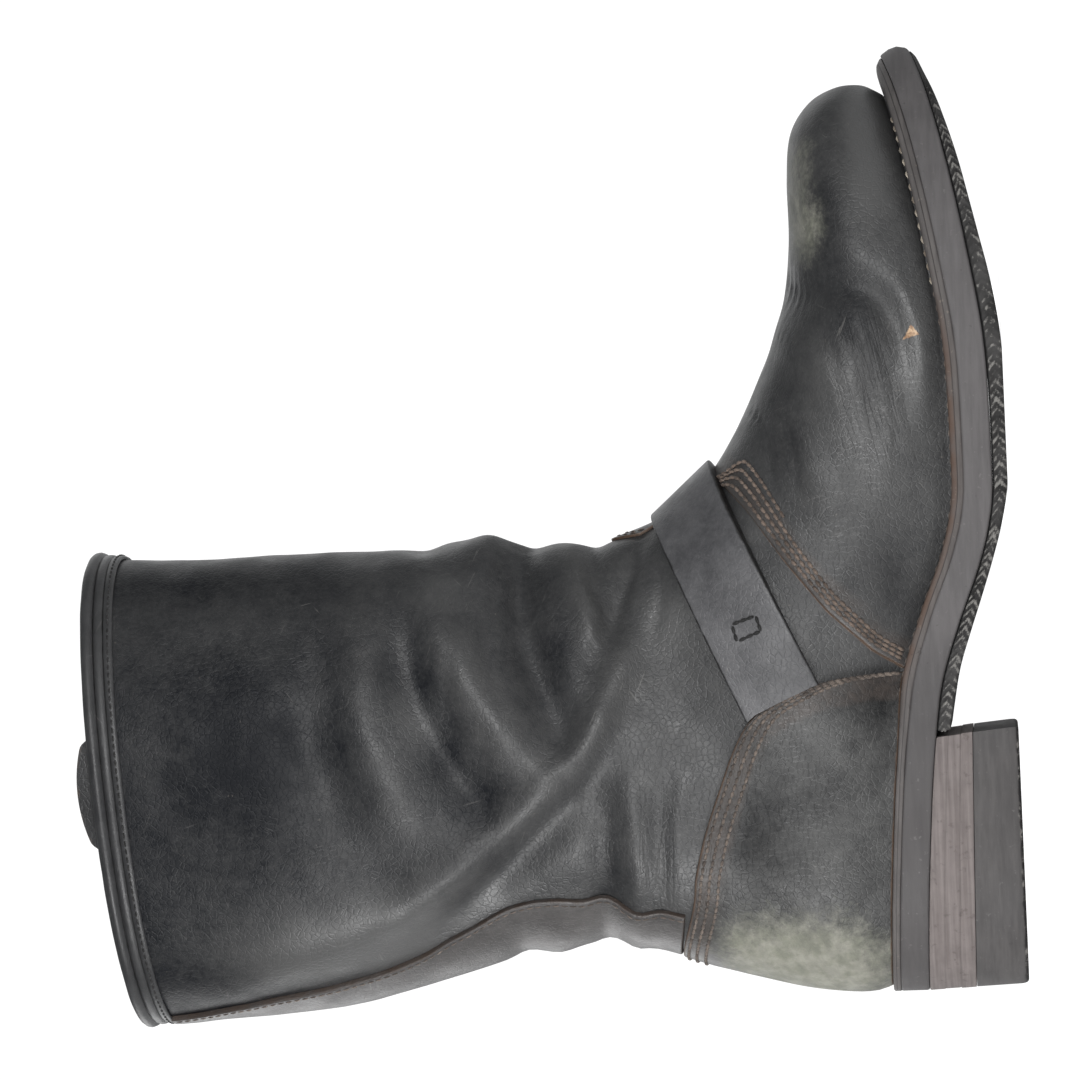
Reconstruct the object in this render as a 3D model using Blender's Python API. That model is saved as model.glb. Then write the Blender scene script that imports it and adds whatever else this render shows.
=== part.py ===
"""Engineer boot, left foot, standing on its sole.

Millimetres while building, metres in the finished objects.  +X runs from the
heel to the toe, +Y to the wearer's left (the lateral, buckle side), +Z up.
The upper is a loft through sections of the last: every section runs from a
base point (on the feather edge under the foot, or on the back line of the
shaft) to a crest point (on the vamp ridge, or on the front line of the shaft).
"""
import math

import bmesh
import bpy
import numpy as np
from mathutils import Vector
from mathutils.bvhtree import BVHTree

for thing in list(bpy.data.objects):
    bpy.data.objects.remove(thing, do_unlink=True)

MM = 0.001

# ---------------------------------------------------------------- main sizes
ORIGIN = (152.4, 2.3, 0.0)   # middle of the footprint, on the floor
GAP = 0.3                    # clearance between neighbouring pieces
OVER_GAP = 0.5               # clearance under a piece laid on the upper
WALL = 2.4                   # leather of the upper
SOLE_T = 9.0                 # midsole, heel to toe
WELT_T = 3.4                 # welt at the forefoot
RAND_T = 2.2                 # its thin run around the heel seat
INSOLE_T = 3.5
FEATHER_WALL = 4.0           # upright wall of the upper behind the welt
COUNTER_T = 2.0
BACKSTAY_T = 1.8
STRAP_T = 3.0
HEEL_BACK, TOE_TIP = 1.8, 306.4        # sole, along X
TREAD_BACK = 86.2                      # back edge of the rubber half sole
BREAST_TOP, BREAST_FLOOR = 84.5, 87.0  # front face of the heel
HEEL_TAPER = 1.2                       # narrowing of the heel to the floor
LIFT_BACK, LIFT_BREAST = 16.8, 14.4    # top face of the rubber lift
HALF_RING = 15                         # facets from base to crest
HEEL_ROW = 16                          # row whose base is the heel point

# Bottom line of the midsole as it would lie without the half sole below it.
PROFILE_COLUMNS = ("x", "z")
SOLE_PROFILE = np.array([
    (0.0, 32.0), (45.0, 29.6), (87.0, 25.4), (101.0, 22.4), (121.0, 14.4),
    (140.0, 5.6), (154.0, 1.3), (165.0, 0.0), (200.0, 0.0), (214.0, 0.9),
    (231.0, 3.2), (261.0, 8.2), (281.0, 12.4), (296.0, 16.4), (306.4, 20.0)])

# Bottom line of the rubber half sole; level under the ball of the foot.
TREAD_PROFILE = np.array([
    (85.0, 21.7), (93.0, 20.3), (105.0, 17.8), (116.0, 14.1), (128.0, 9.8),
    (140.0, 5.7), (152.0, 2.2), (159.0, 0.7), (165.0, 0.0), (204.0, 0.0),
    (212.0, 0.5), (220.0, 1.5), (231.0, 3.4), (242.0, 5.8), (254.0, 8.4),
    (266.0, 11.1), (278.0, 14.4), (289.0, 17.9), (298.0, 21.5), (306.4, 24.6)])

# Plan of the last at the feather edge, and of the sole edge beside it.
PLAN_COLUMNS = ("x", "axis_y", "half_width", "sole_half_width")
PLAN = np.array([
    (6.3, 0.0, 0.0, 0.0),
    (11.2, 0.0, 16.2, 17.2),
    (26.0, 0.0, 28.0, 30.6),
    (45.0, 0.0, 32.0, 35.2),
    (75.0, 0.8, 32.4, 36.0),
    (105.0, 3.5, 32.6, 37.2),
    (140.0, 5.5, 37.4, 43.8),
    (175.0, 4.3, 44.0, 51.0),
    (206.0, 2.2, 47.3, 54.2),
    (230.0, 0.7, 45.7, 51.7),
    (248.5, -0.5, 41.5, 46.5),
    (262.0, -1.6, 36.0, 39.7),
    (272.0, -2.4, 29.7, 32.0),
    (280.0, -3.1, 22.5, 23.9),
    (285.5, -3.6, 15.5, 16.4),
    (290.5, -4.0, 0.0, 0.0)])

# Sections of the upper, toe tip to collar.  rise: height of the base above
# the foot's wall; widest: share of the height where half_width is reached.
SECTION_COLUMNS = ("base_x", "rise", "crest_x", "crest_z", "half_width",
                   "widest", "base_power", "crest_power", "crest_y")
SECTIONS = np.array([
    (290.5, 0.0, 290.5, 28.0, 0.0, 0.40, 2.00, 2.00, -4.0),
    (289.0, 0.0, 292.5, 31.8, 8.9, 0.40, 2.00, 2.00, -4.0),
    (285.5, 0.0, 294.0, 36.5, 16.9, 0.40, 2.00, 2.30, -4.0),
    (280.0, 0.0, 293.2, 44.0, 24.6, 0.40, 2.00, 2.50, -3.9),
    (272.0, 0.0, 288.6, 52.2, 32.5, 0.40, 2.00, 2.60, -3.8),
    (262.0, 0.0, 279.0, 58.5, 39.3, 0.38, 2.00, 2.60, -3.8),
    (248.5, 0.0, 264.0, 60.4, 45.0, 0.36, 2.00, 2.50, -4.0),
    (230.0, 0.0, 243.0, 61.0, 48.8, 0.33, 2.00, 2.35, -4.5),
    (206.0, 0.0, 220.0, 65.2, 50.0, 0.31, 2.00, 2.20, -5.0),
    (179.0, 0.0, 198.5, 74.2, 48.0, 0.30, 2.00, 2.05, -5.0),
    (151.0, 0.0, 181.0, 83.0, 44.2, 0.31, 1.80, 1.95, -4.0),
    (121.0, 0.0, 167.0, 93.5, 40.8, 0.34, 1.75, 1.92, -3.0),
    (89.0, 0.0, 157.5, 106.7, 38.6, 0.38, 1.70, 1.95, -1.5),
    (53.0, 0.0, 152.8, 118.0, 37.2, 0.41, 1.75, 2.00, -0.5),
    (26.0, 0.0, 151.0, 126.5, 36.4, 0.42, 1.90, 2.10, 0.0),
    (11.2, 0.0, 150.6, 133.0, 36.1, 0.42, 2.10, 2.15, 0.0),
    (6.3, 0.0, 151.0, 139.0, 36.1, 0.42, 2.20, 2.15, 0.0),
    (4.3, 7.2, 151.9, 145.0, 36.4, 0.43, 2.25, 2.15, 0.0),
    (6.4, 25.0, 153.3, 153.5, 37.0, 0.44, 2.25, 2.15, 0.0),
    (13.2, 52.0, 153.8, 166.0, 38.0, 0.45, 2.25, 2.15, 0.0),
    (21.6, 81.5, 152.2, 183.0, 39.8, 0.46, 2.20, 2.15, 0.0),
    (21.4, 109.5, 151.0, 202.0, 42.0, 0.47, 2.15, 2.15, 0.0),
    (13.6, 139.0, 151.1, 222.0, 44.2, 0.48, 2.15, 2.15, 0.0),
    (5.6, 173.0, 151.5, 244.0, 46.2, 0.49, 2.15, 2.15, 0.0),
    (2.2, 207.0, 151.3, 267.0, 47.6, 0.50, 2.15, 2.15, 0.0),
    (0.7, 239.0, 152.2, 291.3, 48.2, 0.50, 2.15, 2.15, 0.0)])

# Edge of the heel counter in side view, from the welt up and back.
EDGE_COLUMNS = ("x", "z")
COUNTER_EDGE = np.array([
    (105.6, 36.2), (104.9, 47.6), (102.6, 63.2), (98.6, 73.3), (92.7, 83.4),
    (83.0, 89.8), (71.7, 94.6), (52.8, 101.4), (42.0, 104.2)])
COUNTER_BACK_Z = 110.0
COUNTER_ROWS = (0.0, 0.03, 0.065, 0.11, 0.18, 0.28, 0.4, 0.55, 0.7, 0.85, 1.0)
HEEL_POLE_X = 42.0           # the back of the counter turns about this line

# Half-width of the backstay up the shaft.
BACKSTAY_COLUMNS = ("z", "half_width")
BACKSTAY = np.array([
    (110.0, 25.0), (150.0, 23.5), (180.0, 22.0), (206.0, 18.0),
    (240.0, 14.5), (284.0, 12.0)])

BACKSTAY_SAG = 2.3           # its foot follows the counter's sloping edge

# Instep strap: it lies between two planes that rise towards the toe.
STRAP_RISE = math.radians(23.9)
STRAP_LOW, STRAP_HIGH = 15.4, 40.6
STRAP_POLE = 152.6
CHAPE_END = 135.3
BUCKLE_MID, BUCKLE_LENGTH, WIRE_R = 153.1, 25.0, 1.7
TAIL_TIP = 99.8
KEEPER_FROM, KEEPER_TO, KEEPER_T = 121.8, 128.8, 1.4

# Collar binding, section around the rim: out = away from the upper's face.
BINDING_DEPTH = 9.0
BINDING_COLUMNS = ("out", "up")
BINDING = np.array([
    (0.3, -1.0), (1.4, -1.0), (1.5, -0.16), (2.4, 0.9), (1.6, 3.4),
    (-1.2, 4.5), (-4.0, 3.4), (-4.8, 0.9),
    (-3.9, -0.16), (-3.8, -1.0), (-2.7, -1.0), (-2.7, 0.3), (0.3, 0.3)])

TAB_FROM, TAB_TO, TAB_DROP, TAB_TOP, TAB_T = 55.0, 99.0, 40.0, 10.0, 2.2


# ------------------------------------------------------------ curve helpers
def hermite(xk, yk, x, steady=True):
    """Cubic through the rows; steady keeps it from overshooting a row."""
    xk, yk, x = (np.asarray(v, float) for v in (xk, yk, x))
    if xk[0] > xk[-1]:
        xk, yk = xk[::-1], yk[::-1]
    step = np.diff(xk)
    slope = np.diff(yk) / step
    tangent = np.empty_like(yk)
    tangent[1:-1] = ((slope[:-1] * step[1:] + slope[1:] * step[:-1])
                     / (step[:-1] + step[1:]))
    tangent[0] = 1.5 * slope[0] - 0.5 * tangent[1]
    tangent[-1] = 1.5 * slope[-1] - 0.5 * tangent[-2]
    if steady:
        low = np.minimum(np.abs(slope[:-1]), np.abs(slope[1:]))
        inner = np.where(slope[:-1] * slope[1:] > 0,
                         np.clip(tangent[1:-1], -3 * low, 3 * low), 0.0)
        tangent[1:-1] = inner
    x = np.clip(x, xk[0], xk[-1])
    i = np.clip(np.searchsorted(xk, x, side="right") - 1, 0, len(xk) - 2)
    t = (x - xk[i]) / step[i]
    return ((2 * t**3 - 3 * t**2 + 1) * yk[i]
            + (t**3 - 2 * t**2 + t) * step[i] * tangent[i]
            + (3 * t**2 - 2 * t**3) * yk[i + 1]
            + (t**3 - t**2) * step[i] * tangent[i + 1])


def ease(t):
    t = np.clip(t, 0.0, 1.0)
    return t * t * (3.0 - 2.0 * t)


def tread_lift(x):
    """How far the half sole lifts the boot in front of the heel."""
    return 4.7 * ease((x - 75.0) / 90.0) + 1.5 * np.clip(
        (x - 165.0) / 140.0, 0.0, 1.0)


SOLE_PROFILE[:, 1] += tread_lift(SOLE_PROFILE[:, 0])
COUNTER_EDGE[:, 1] += tread_lift(COUNTER_EDGE[:, 0])
SECTIONS[:, 3] += tread_lift(SECTIONS[:, 2])


def sole_bottom(x):
    return hermite(SOLE_PROFILE[:, 0], SOLE_PROFILE[:, 1], x)


def tread_bottom(x):
    return hermite(TREAD_PROFILE[:, 0], TREAD_PROFILE[:, 1], x)


def sole_top(x):
    at = np.clip(x, SOLE_PROFILE[0, 0] + 1.0, SOLE_PROFILE[-1, 0] - 1.0)
    slope = (sole_bottom(at + 1.0) - sole_bottom(at - 1.0)) / 2.0
    return sole_bottom(x) + SOLE_T * np.sqrt(1.0 + slope**2)


def feather_z(x):
    """Foot of the upper: just over the facets of the midsole's top."""
    return np.interp(x, SOLE_FACETS_X, SOLE_FACETS_Z) + GAP


def welt_thickness(x):
    return RAND_T + (WELT_T - RAND_T) * ease((np.asarray(x) - 78.0) / 30.0)


def plan_axis(x):
    return hermite(PLAN[:, 0], PLAN[:, 1], x)


def plan_half(x, column=2):
    """Squares are interpolated, so that heel and toe close round."""
    return np.sqrt(np.maximum(
        hermite(PLAN[:, 0], PLAN[:, column]**2, x), 0.0))


def sole_x(x):
    """Place on the sole edge that belongs to a place on the feather edge."""
    first, last = PLAN[0, 0], PLAN[-1, 0]
    return HEEL_BACK + (x - first) / (last - first) * (TOE_TIP - HEEL_BACK)


def feather_x(x):
    first, last = PLAN[0, 0], PLAN[-1, 0]
    return first + (x - HEEL_BACK) / (TOE_TIP - HEEL_BACK) * (last - first)


# ---------------------------------------------------------------- the upper
def section(u):
    row = np.arange(len(SECTIONS))
    return {name: float(hermite(row, SECTIONS[:, k], u, name == "rise"))
            for k, name in enumerate(SECTION_COLUMNS)}


FOOT_ROWS = (0.0, 0.5, 1.0, 1.5, 2.0, 2.5, 3.0, 3.5, 4.0, 4.5, 5.0, 5.6, 6.2,
             6.8, 7.4, 8.0, 8.6, 9.2, 9.7, 10.2, 10.6, 11.0, 11.4, 11.8, 12.3,
             12.8, 13.4, 14.0, 14.5, 15.0, 15.45, 15.8, 16.0)
SHAFT_ROWS = (16.5, 17.0, 17.5, 18.0, 18.5, 19.0, 19.5, 20.0, 20.5, 21.0,
              21.6, 22.2, 23.0, 24.0, 25.0)
ROWS = FOOT_ROWS + SHAFT_ROWS
SOLE_FACETS_X = sole_x(np.array([section(u)["base_x"] for u in FOOT_ROWS]))[::-1]
SOLE_FACETS_Z = sole_top(SOLE_FACETS_X)


def half_section(u, count):
    """Points from base to crest: x, middle y, half-width, z.  The base lies
    on top of the upright wall that stands behind the welt."""
    s = section(u)
    base_z = float(feather_z(s["base_x"])) + FEATHER_WALL + max(s["rise"], 0.0)
    height = max(s["crest_z"] - base_z, 0.0)
    open_below = u < HEEL_ROW
    foot_half = float(plan_half(s["base_x"])) if open_below else 0.0
    axis = float(plan_axis(s["base_x"])) if open_below else 0.0
    half = max(s["half_width"], foot_half)
    a = np.linspace(0.0, math.pi / 2, 60)
    b = np.linspace(0.0, math.pi / 2, 90)[1:]
    t = 1.0 - np.cos(a)
    low_v = s["widest"] * t
    # At the toe the wall swells straight from the feather edge; towards the
    # heel it follows the plan of the last and fills out slowly above it.
    swell = foot_half + (half - foot_half) * (
        1.0 - (1.0 - t)**s["base_power"])**(1.0 / s["base_power"])
    start = s["base_x"] if open_below else PLAN[0, 0]
    along = plan_half(np.minimum(
        start + (s["crest_x"] - s["base_x"]) * low_v, 200.0))
    along = along + (half - along[-1]) * (1.0 - (1.0 - t)**2)
    share = float(ease((u - 7.0) / 2.0) * (1.0 - ease(s["rise"] / 16.0)))
    low_w = (1.0 - share) * swell + share * along
    top_v = s["widest"] + (1.0 - s["widest"]) * np.sin(b)**(
        2.0 / s["crest_power"])
    top_w = half * np.clip(np.cos(b), 0, 1)**(2.0 / s["crest_power"])
    v = np.concatenate([low_v, top_v])
    w = np.concatenate([low_w, top_w])
    w[-1] = 0.0
    x = s["base_x"] + (s["crest_x"] - s["base_x"]) * v
    z = base_z + height * v
    y = axis + (s["crest_y"] - axis) * ease(v)
    run = np.concatenate([[0.0], np.cumsum(np.sqrt(
        np.diff(x)**2 + np.diff(w)**2 + np.diff(z)**2))])
    at = np.linspace(0.0, run[-1], count + 1)
    return [np.interp(at, run, k) for k in (x, y, w, z)]


def upper_grid(rows, count):
    """Outer face, one line per row: medial feather edge, medial base, crest,
    lateral base, lateral feather edge."""
    rings = []
    for u in rows:
        x, y, w, z = half_section(u, count)
        medial = np.stack([x, y - w, z], 1)
        lateral = np.stack([x, y + w, z], 1)[-2::-1]
        drop = np.array([[0.0, 0.0, FEATHER_WALL if u <= HEEL_ROW else 0.0]])
        rings.append(np.concatenate([
            medial[:1] - drop, medial, lateral, lateral[-1:] - drop]))
    return np.array(rings)


def ring_index(rows, width):
    """Shared vertex numbers: the toe is one point, heel and shaft close."""
    index = np.zeros((len(rows), width), int)
    number = 0
    for i, u in enumerate(rows):
        if i == 0:
            index[i] = 0
            index[i, [0, -1]] = 1
            number = 2
        elif u < HEEL_ROW:
            index[i] = number + np.arange(width)
            number += width
        else:
            ring = width - 3
            index[i, 1:-2] = number + np.arange(ring)
            index[i, -2] = number
            number += ring
            index[i, [0, -1]] = number if u == HEEL_ROW else index[i, 1]
            number += 1 if u == HEEL_ROW else 0
    return index, number


def weld(grid, index, number):
    out = np.zeros((number, 3))
    out[index.reshape(-1)] = grid.reshape(-1, 3)
    return out


def quad_faces(index):
    faces = []
    for i in range(index.shape[0] - 1):
        for j in range(index.shape[1] - 1):
            if ROWS[i] >= HEEL_ROW and j in (0, index.shape[1] - 2):
                continue
            loop = [index[i, j], index[i + 1, j],
                    index[i + 1, j + 1], index[i, j + 1]]
            loop = [k for n, k in enumerate(loop) if k != loop[n - 1]]
            if len(loop) > 2:
                faces.append(loop)
    return faces


def vertex_normals(points, faces):
    normals = np.zeros_like(points)
    for f in faces:
        for n in range(1, len(f) - 1):
            a, b, c = points[f[0]], points[f[n]], points[f[n + 1]]
            cross = np.cross(b - a, c - a)
            for k in (f[0], f[n], f[n + 1]):
                normals[k] += cross
    length = np.linalg.norm(normals, axis=1, keepdims=True)
    return normals / np.maximum(length, 1e-12)


# -------------------------------------------------------------- object maker
def add_object(name, points, faces, colour, rough, metal=0.0):
    mesh = bpy.data.meshes.new(name)
    place = (np.asarray(points, float) - np.array(ORIGIN)) * MM
    mesh.from_pydata(place.tolist(), [], [[int(k) for k in f] for f in faces])
    work = bmesh.new()
    work.from_mesh(mesh)
    bmesh.ops.triangulate(work, faces=work.faces[:])
    bmesh.ops.recalc_face_normals(work, faces=work.faces[:])
    if work.calc_volume(signed=True) < 0:
        bmesh.ops.reverse_faces(work, faces=work.faces[:])
    work.to_mesh(mesh)
    work.free()
    stuff = bpy.data.materials.new(name + "_material")
    stuff.use_nodes = True
    shader = stuff.node_tree.nodes["Principled BSDF"]
    shader.inputs["Base Color"].default_value = (*colour, 1.0)
    shader.inputs["Roughness"].default_value = rough
    shader.inputs["Metallic"].default_value = metal
    mesh.materials.append(stuff)
    thing = bpy.data.objects.new(name, mesh)
    bpy.context.scene.collection.objects.link(thing)
    return thing


def slab(inner, outer):
    """Closed solid between two grids of the same size."""
    m, k = inner.shape[:2]
    points = np.concatenate([inner.reshape(-1, 3), outer.reshape(-1, 3)])
    at = np.arange(m * k).reshape(m, k)
    up = at + m * k
    faces = []
    for i in range(m - 1):
        for j in range(k - 1):
            faces.append([at[i, j], at[i, j + 1], at[i + 1, j + 1], at[i + 1, j]])
            faces.append([up[i, j], up[i + 1, j], up[i + 1, j + 1], up[i, j + 1]])
    border = ([(i, 0) for i in range(m)] + [(m - 1, j) for j in range(1, k)]
              + [(i, k - 1) for i in range(m - 2, -1, -1)]
              + [(0, j) for j in range(k - 2, 0, -1)])
    for n, one in enumerate(border):
        two = border[(n + 1) % len(border)]
        faces.append([at[one], at[two], up[two], up[one]])
    return points, faces


def ring_solid(loops):
    """Closed ring: each loop is one section, the last joins the first."""
    m, k = loops.shape[:2]
    at = np.arange(m * k).reshape(m, k)
    faces = [[at[i, j], at[(i + 1) % m, j],
              at[(i + 1) % m, (j + 1) % k], at[i, (j + 1) % k]]
             for i in range(m) for j in range(k)]
    return loops.reshape(-1, 3), faces


def offset_loop(loop, distance):
    """Flat outward offset of a closed outline (x, y)."""
    ahead, behind = np.roll(loop, -1, 0), np.roll(loop, 1, 0)
    one, two = ahead - loop, loop - behind
    one /= np.linalg.norm(one, axis=1, keepdims=True)
    two /= np.linalg.norm(two, axis=1, keepdims=True)
    mean = one + two
    mean /= np.linalg.norm(mean, axis=1, keepdims=True)
    normal = np.stack([mean[:, 1], -mean[:, 0]], 1)
    turn = np.sum(mean * one, axis=1)
    area = np.sum(loop[:, 0] * ahead[:, 1] - ahead[:, 0] * loop[:, 1])
    sign = 1.0 if area > 0 else -1.0
    return loop + sign * normal * (distance / np.maximum(turn, 0.5))[:, None]


def plate(loop_low, loop_high, name, colour, rough):
    """Solid between two outlines that list mirrored stations, toe to heel
    on the medial side and back on the lateral side."""
    n = len(loop_low)
    half = n // 2
    points = np.concatenate([loop_low, loop_high])
    faces = []
    for k, turn in ((0, False), (n, True)):
        for i in range(half):
            quad = [i, i + 1, (n - i - 1) % n, (n - i) % n]
            quad = [q for m, q in enumerate(quad) if q != quad[m - 1]]
            quad = [q + k for q in quad]
            if len(quad) > 2:
                faces.append(quad[::-1] if turn else quad)
    for i in range(n):
        faces.append([i, (i + 1) % n, n + (i + 1) % n, n + i])
    return add_object(name, points, faces, colour, rough)


# ------------------------------------------------------------ upper, outside
WIDTH = 2 * HALF_RING + 3

outer_grid = upper_grid(ROWS, HALF_RING)
INDEX, COUNT = ring_index(ROWS, WIDTH)
outer = weld(outer_grid, INDEX, COUNT)
skin = quad_faces(INDEX)
normals = vertex_normals(outer, skin)
if normals[INDEX[20, HALF_RING + 1], 2] < 0:
    normals = -normals

# Evened-out directions for the inner face, so that tight places do not fold.
thick_way = normals.copy()
links = np.array(sorted({(min(a, b), max(a, b)) for f in skin
                         for a, b in zip(f, f[1:] + f[:1])}))
for _ in range(10):
    total = thick_way.copy()
    np.add.at(total, links[:, 0], thick_way[links[:, 1]])
    np.add.at(total, links[:, 1], thick_way[links[:, 0]])
    thick_way = total / np.linalg.norm(total, axis=1, keepdims=True)

# The feather edge faces sideways, so that its wall stays level below.
heel_at = FOOT_ROWS.index(16.0)
feather = np.concatenate([
    INDEX[:heel_at + 1, 0], INDEX[1:heel_at, -1][::-1]])
feather_loop = outer[feather][:, :2]
inward = offset_loop(feather_loop, -WALL) - feather_loop
inner = outer - WALL * thick_way
inner[feather, :2] = outer[feather, :2] + inward
inner[feather, 2] = outer[feather, 2]
rim = INDEX[-1, 1:-2]
level = normals[rim].copy()
level[:, 2] = 0.0
level /= np.linalg.norm(level, axis=1, keepdims=True)
inner[rim] = outer[rim] - WALL * level

points = np.concatenate([outer, inner])
faces = list(skin) + [[k + COUNT for k in f][::-1] for f in skin]
for edge in (feather, rim):
    for n in range(len(edge)):
        a, b = edge[n], edge[(n + 1) % len(edge)]
        faces.append([a, b, b + COUNT, a + COUNT])
add_object("upper", points, faces, (0.035, 0.036, 0.040), 0.5)
UPPER_TREE = BVHTree.FromPolygons(
    [Vector(p) for p in outer], [[int(k) for k in f] for f in skin])


def cast(start, toward):
    """Where a line from inside the upper meets its outer face, and the
    rounded normal there."""
    toward = Vector(toward).normalized()
    place, _, face, _ = UPPER_TREE.ray_cast(Vector(start), toward)
    place = np.array(place)
    corner = np.array(skin[face])
    weight = 1.0 / (np.linalg.norm(outer[corner] - place, axis=1) + 0.05)
    away = weight @ normals[corner]
    return np.concatenate([place, away / np.linalg.norm(away)])


def clear(face, away, need):
    """Push a grid out along its normals until it stands clear of the upper."""
    face = face.copy()
    m, k = face.shape[:2]
    for _ in range(6):
        push = np.zeros((m, k))
        for i in range(m - 1):
            for j in range(k - 1):
                corner = face[i:i + 2, j:j + 2]
                worst = 0.0
                for p in (0.0, 0.33, 0.67, 1.0):
                    for q in (0.0, 0.33, 0.67, 1.0):
                        at = Vector(
                            (corner[0, 0] * (1 - q) + corner[0, 1] * q) * (1 - p)
                            + (corner[1, 0] * (1 - q) + corner[1, 1] * q) * p)
                        near, normal, _, _ = UPPER_TREE.find_nearest(at)
                        if normal.dot(Vector(face[i, j] - INSIDE)) < 0:
                            normal = -normal
                        worst = max(worst, need - (at - near).dot(normal))
                push[i:i + 2, j:j + 2] = np.maximum(
                    push[i:i + 2, j:j + 2], worst)
        if push.max() < 0.01:
            break
        face += push[..., None] * away
    return face


INSIDE = np.array([75.0, 0.0, 110.0])


def laid_on(grid, thickness, need=GAP):
    """Solid of even thickness on a grid of places and normals."""
    away = grid[..., 3:]
    low = clear(grid[..., :3] + OVER_GAP * away, away, need)
    return slab(low, low + thickness * away)


# ------------------------------------------------- sole, welt, insole, heel
stations = outer[feather][:, 0]
side = np.where(np.arange(len(feather)) <= heel_at, -1.0, 1.0)
sole_loop = np.stack([sole_x(stations), plan_axis(stations)
                      + side * plan_half(stations, 3)], 1)
low = np.column_stack([sole_loop, sole_bottom(sole_loop[:, 0])])
high = np.column_stack([sole_loop, sole_top(sole_loop[:, 0])])
plate(low, high, "midsole", (0.13, 0.12, 0.125), 0.75)

ahead = np.flatnonzero((side < 0) & (sole_loop[:, 0] > TREAD_BACK + 2.0))
back = feather_x(TREAD_BACK)
corner = np.array([[TREAD_BACK, plan_axis(back) - plan_half(back, 3)],
                   [TREAD_BACK, plan_axis(back) + plan_half(back, 3)]])
tread_loop = np.concatenate([
    sole_loop[ahead], corner,
    sole_loop[[len(sole_loop) - k for k in ahead[:0:-1]]]])
low = np.column_stack([tread_loop, tread_bottom(tread_loop[:, 0])])
high = np.column_stack([tread_loop, sole_bottom(tread_loop[:, 0]) - GAP])
plate(low, high, "outsole", (0.035, 0.034, 0.034), 0.85)

hole = offset_loop(feather_loop, GAP + 0.05)
loops = []
for (ix, iy), (ox, oy) in zip(hole, sole_loop):
    iz, oz = float(feather_z(ix)), float(feather_z(ox))
    loops.append([(ix, iy, iz), (ox, oy, oz),
                  (ox, oy, oz + float(welt_thickness(ox))),
                  (ix, iy, iz + float(welt_thickness(ix)))])
add_object("welt", *ring_solid(np.array(loops)), (0.10, 0.075, 0.055), 0.65)

board = offset_loop(feather_loop, -(WALL + GAP + 0.15))
low = np.column_stack([board, feather_z(board[:, 0])])
plate(low, low + np.array([0.0, 0.0, INSOLE_T]), "insole",
      (0.30, 0.22, 0.15), 0.8)


def heel_outline(breast, inset):
    """Heel in plan: breast line, round the back, breast line."""
    t = np.linspace(0.0, math.pi / 2, 13)
    x = HEEL_BACK + inset + (breast - HEEL_BACK - inset) * (1.0 - np.cos(t))
    at = feather_x(HEEL_BACK + (x - HEEL_BACK - inset)
                   * (breast - HEEL_BACK) / (breast - HEEL_BACK - inset))
    half = np.maximum(plan_half(at, 3) - inset * ease(
        (x - HEEL_BACK) / 8.0), 0.0)
    axis = plan_axis(at)
    medial = np.stack([x, axis - half], 1)[::-1]
    lateral = np.stack([x, axis + half], 1)[1:]
    return np.concatenate([medial, lateral])


def lift_top(x):
    return LIFT_BACK + (LIFT_BREAST - LIFT_BACK) * np.asarray(x) / BREAST_TOP


def heel_piece(name, low_loop, low_z, high_loop, high_z, colour, rough):
    n = len(low_loop)
    points = np.concatenate([np.column_stack([low_loop, low_z]),
                             np.column_stack([high_loop, high_z])])
    faces = []
    for k in (0, n):
        for i in range(n // 2):
            quad = [i + k, i + 1 + k, n - 2 - i + k, n - 1 - i + k]
            quad = [q for m, q in enumerate(quad) if q != quad[m - 1]]
            if len(set(quad)) > 2:
                faces.append(quad)
    for i in range(n):
        faces.append([i, (i + 1) % n, n + (i + 1) % n, n + i])
    add_object(name, points, faces, colour, rough)


middle = heel_outline(0.5 * (BREAST_TOP + BREAST_FLOOR), 0.5 * HEEL_TAPER)
top = heel_outline(BREAST_TOP, 0.0)
floor = heel_outline(BREAST_FLOOR, HEEL_TAPER)
heel_piece("heel_stack", middle, lift_top(middle[:, 0]) + GAP, top,
           sole_bottom(top[:, 0]) - GAP, (0.24, 0.19, 0.15), 0.7)
heel_piece("heel_top_lift", floor, np.zeros(len(floor)), middle,
           lift_top(middle[:, 0]), (0.12, 0.12, 0.125), 0.8)


# ------------------------------------------------------- counter, backstay
def counter_columns(front, back):
    """Columns of the counter: ray start x, ray direction, top height."""
    run = np.concatenate([[0.0], np.cumsum(np.hypot(
        *np.diff(COUNTER_EDGE, axis=0).T))])
    at = np.linspace(0.0, run[-1], front + 1)
    x = hermite(run, COUNTER_EDGE[:, 0], at)
    z = hermite(run, COUNTER_EDGE[:, 1], at)
    medial = [(x[i], (0.0, -1.0), z[i]) for i in range(front)]
    lateral = [(x[i], (0.0, 1.0), z[i]) for i in range(front - 1, -1, -1)]
    turn = []
    for a in np.linspace(0.0, math.pi, 2 * back + 1):
        share = float(ease(math.sin(a)))
        turn.append((HEEL_POLE_X, (-math.sin(a), -math.cos(a)),
                     z[-1] + (COUNTER_BACK_Z - z[-1]) * share))
    return medial + turn + lateral


def welt_top(x):
    return float(feather_z(x) + welt_thickness(x))


def counter_grid(front, back, shares):
    grid = []
    for x0, (dx, dy), top_z in counter_columns(front, back):
        line = []
        foot = cast((x0, 0.0, welt_top(x0) + 3.0), (dx, dy, 0.0))
        low_z = welt_top(foot[0]) + 0.7 + 0.6 * float(ease((x0 - 95.0) / 10.0))
        for t in shares:
            z = low_z + (max(top_z, low_z + 1.0) - low_z) * t
            line.append(cast((x0, 0.0, z), (dx, dy, 0.0)))
        grid.append(line)
    return np.array(grid)


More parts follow.
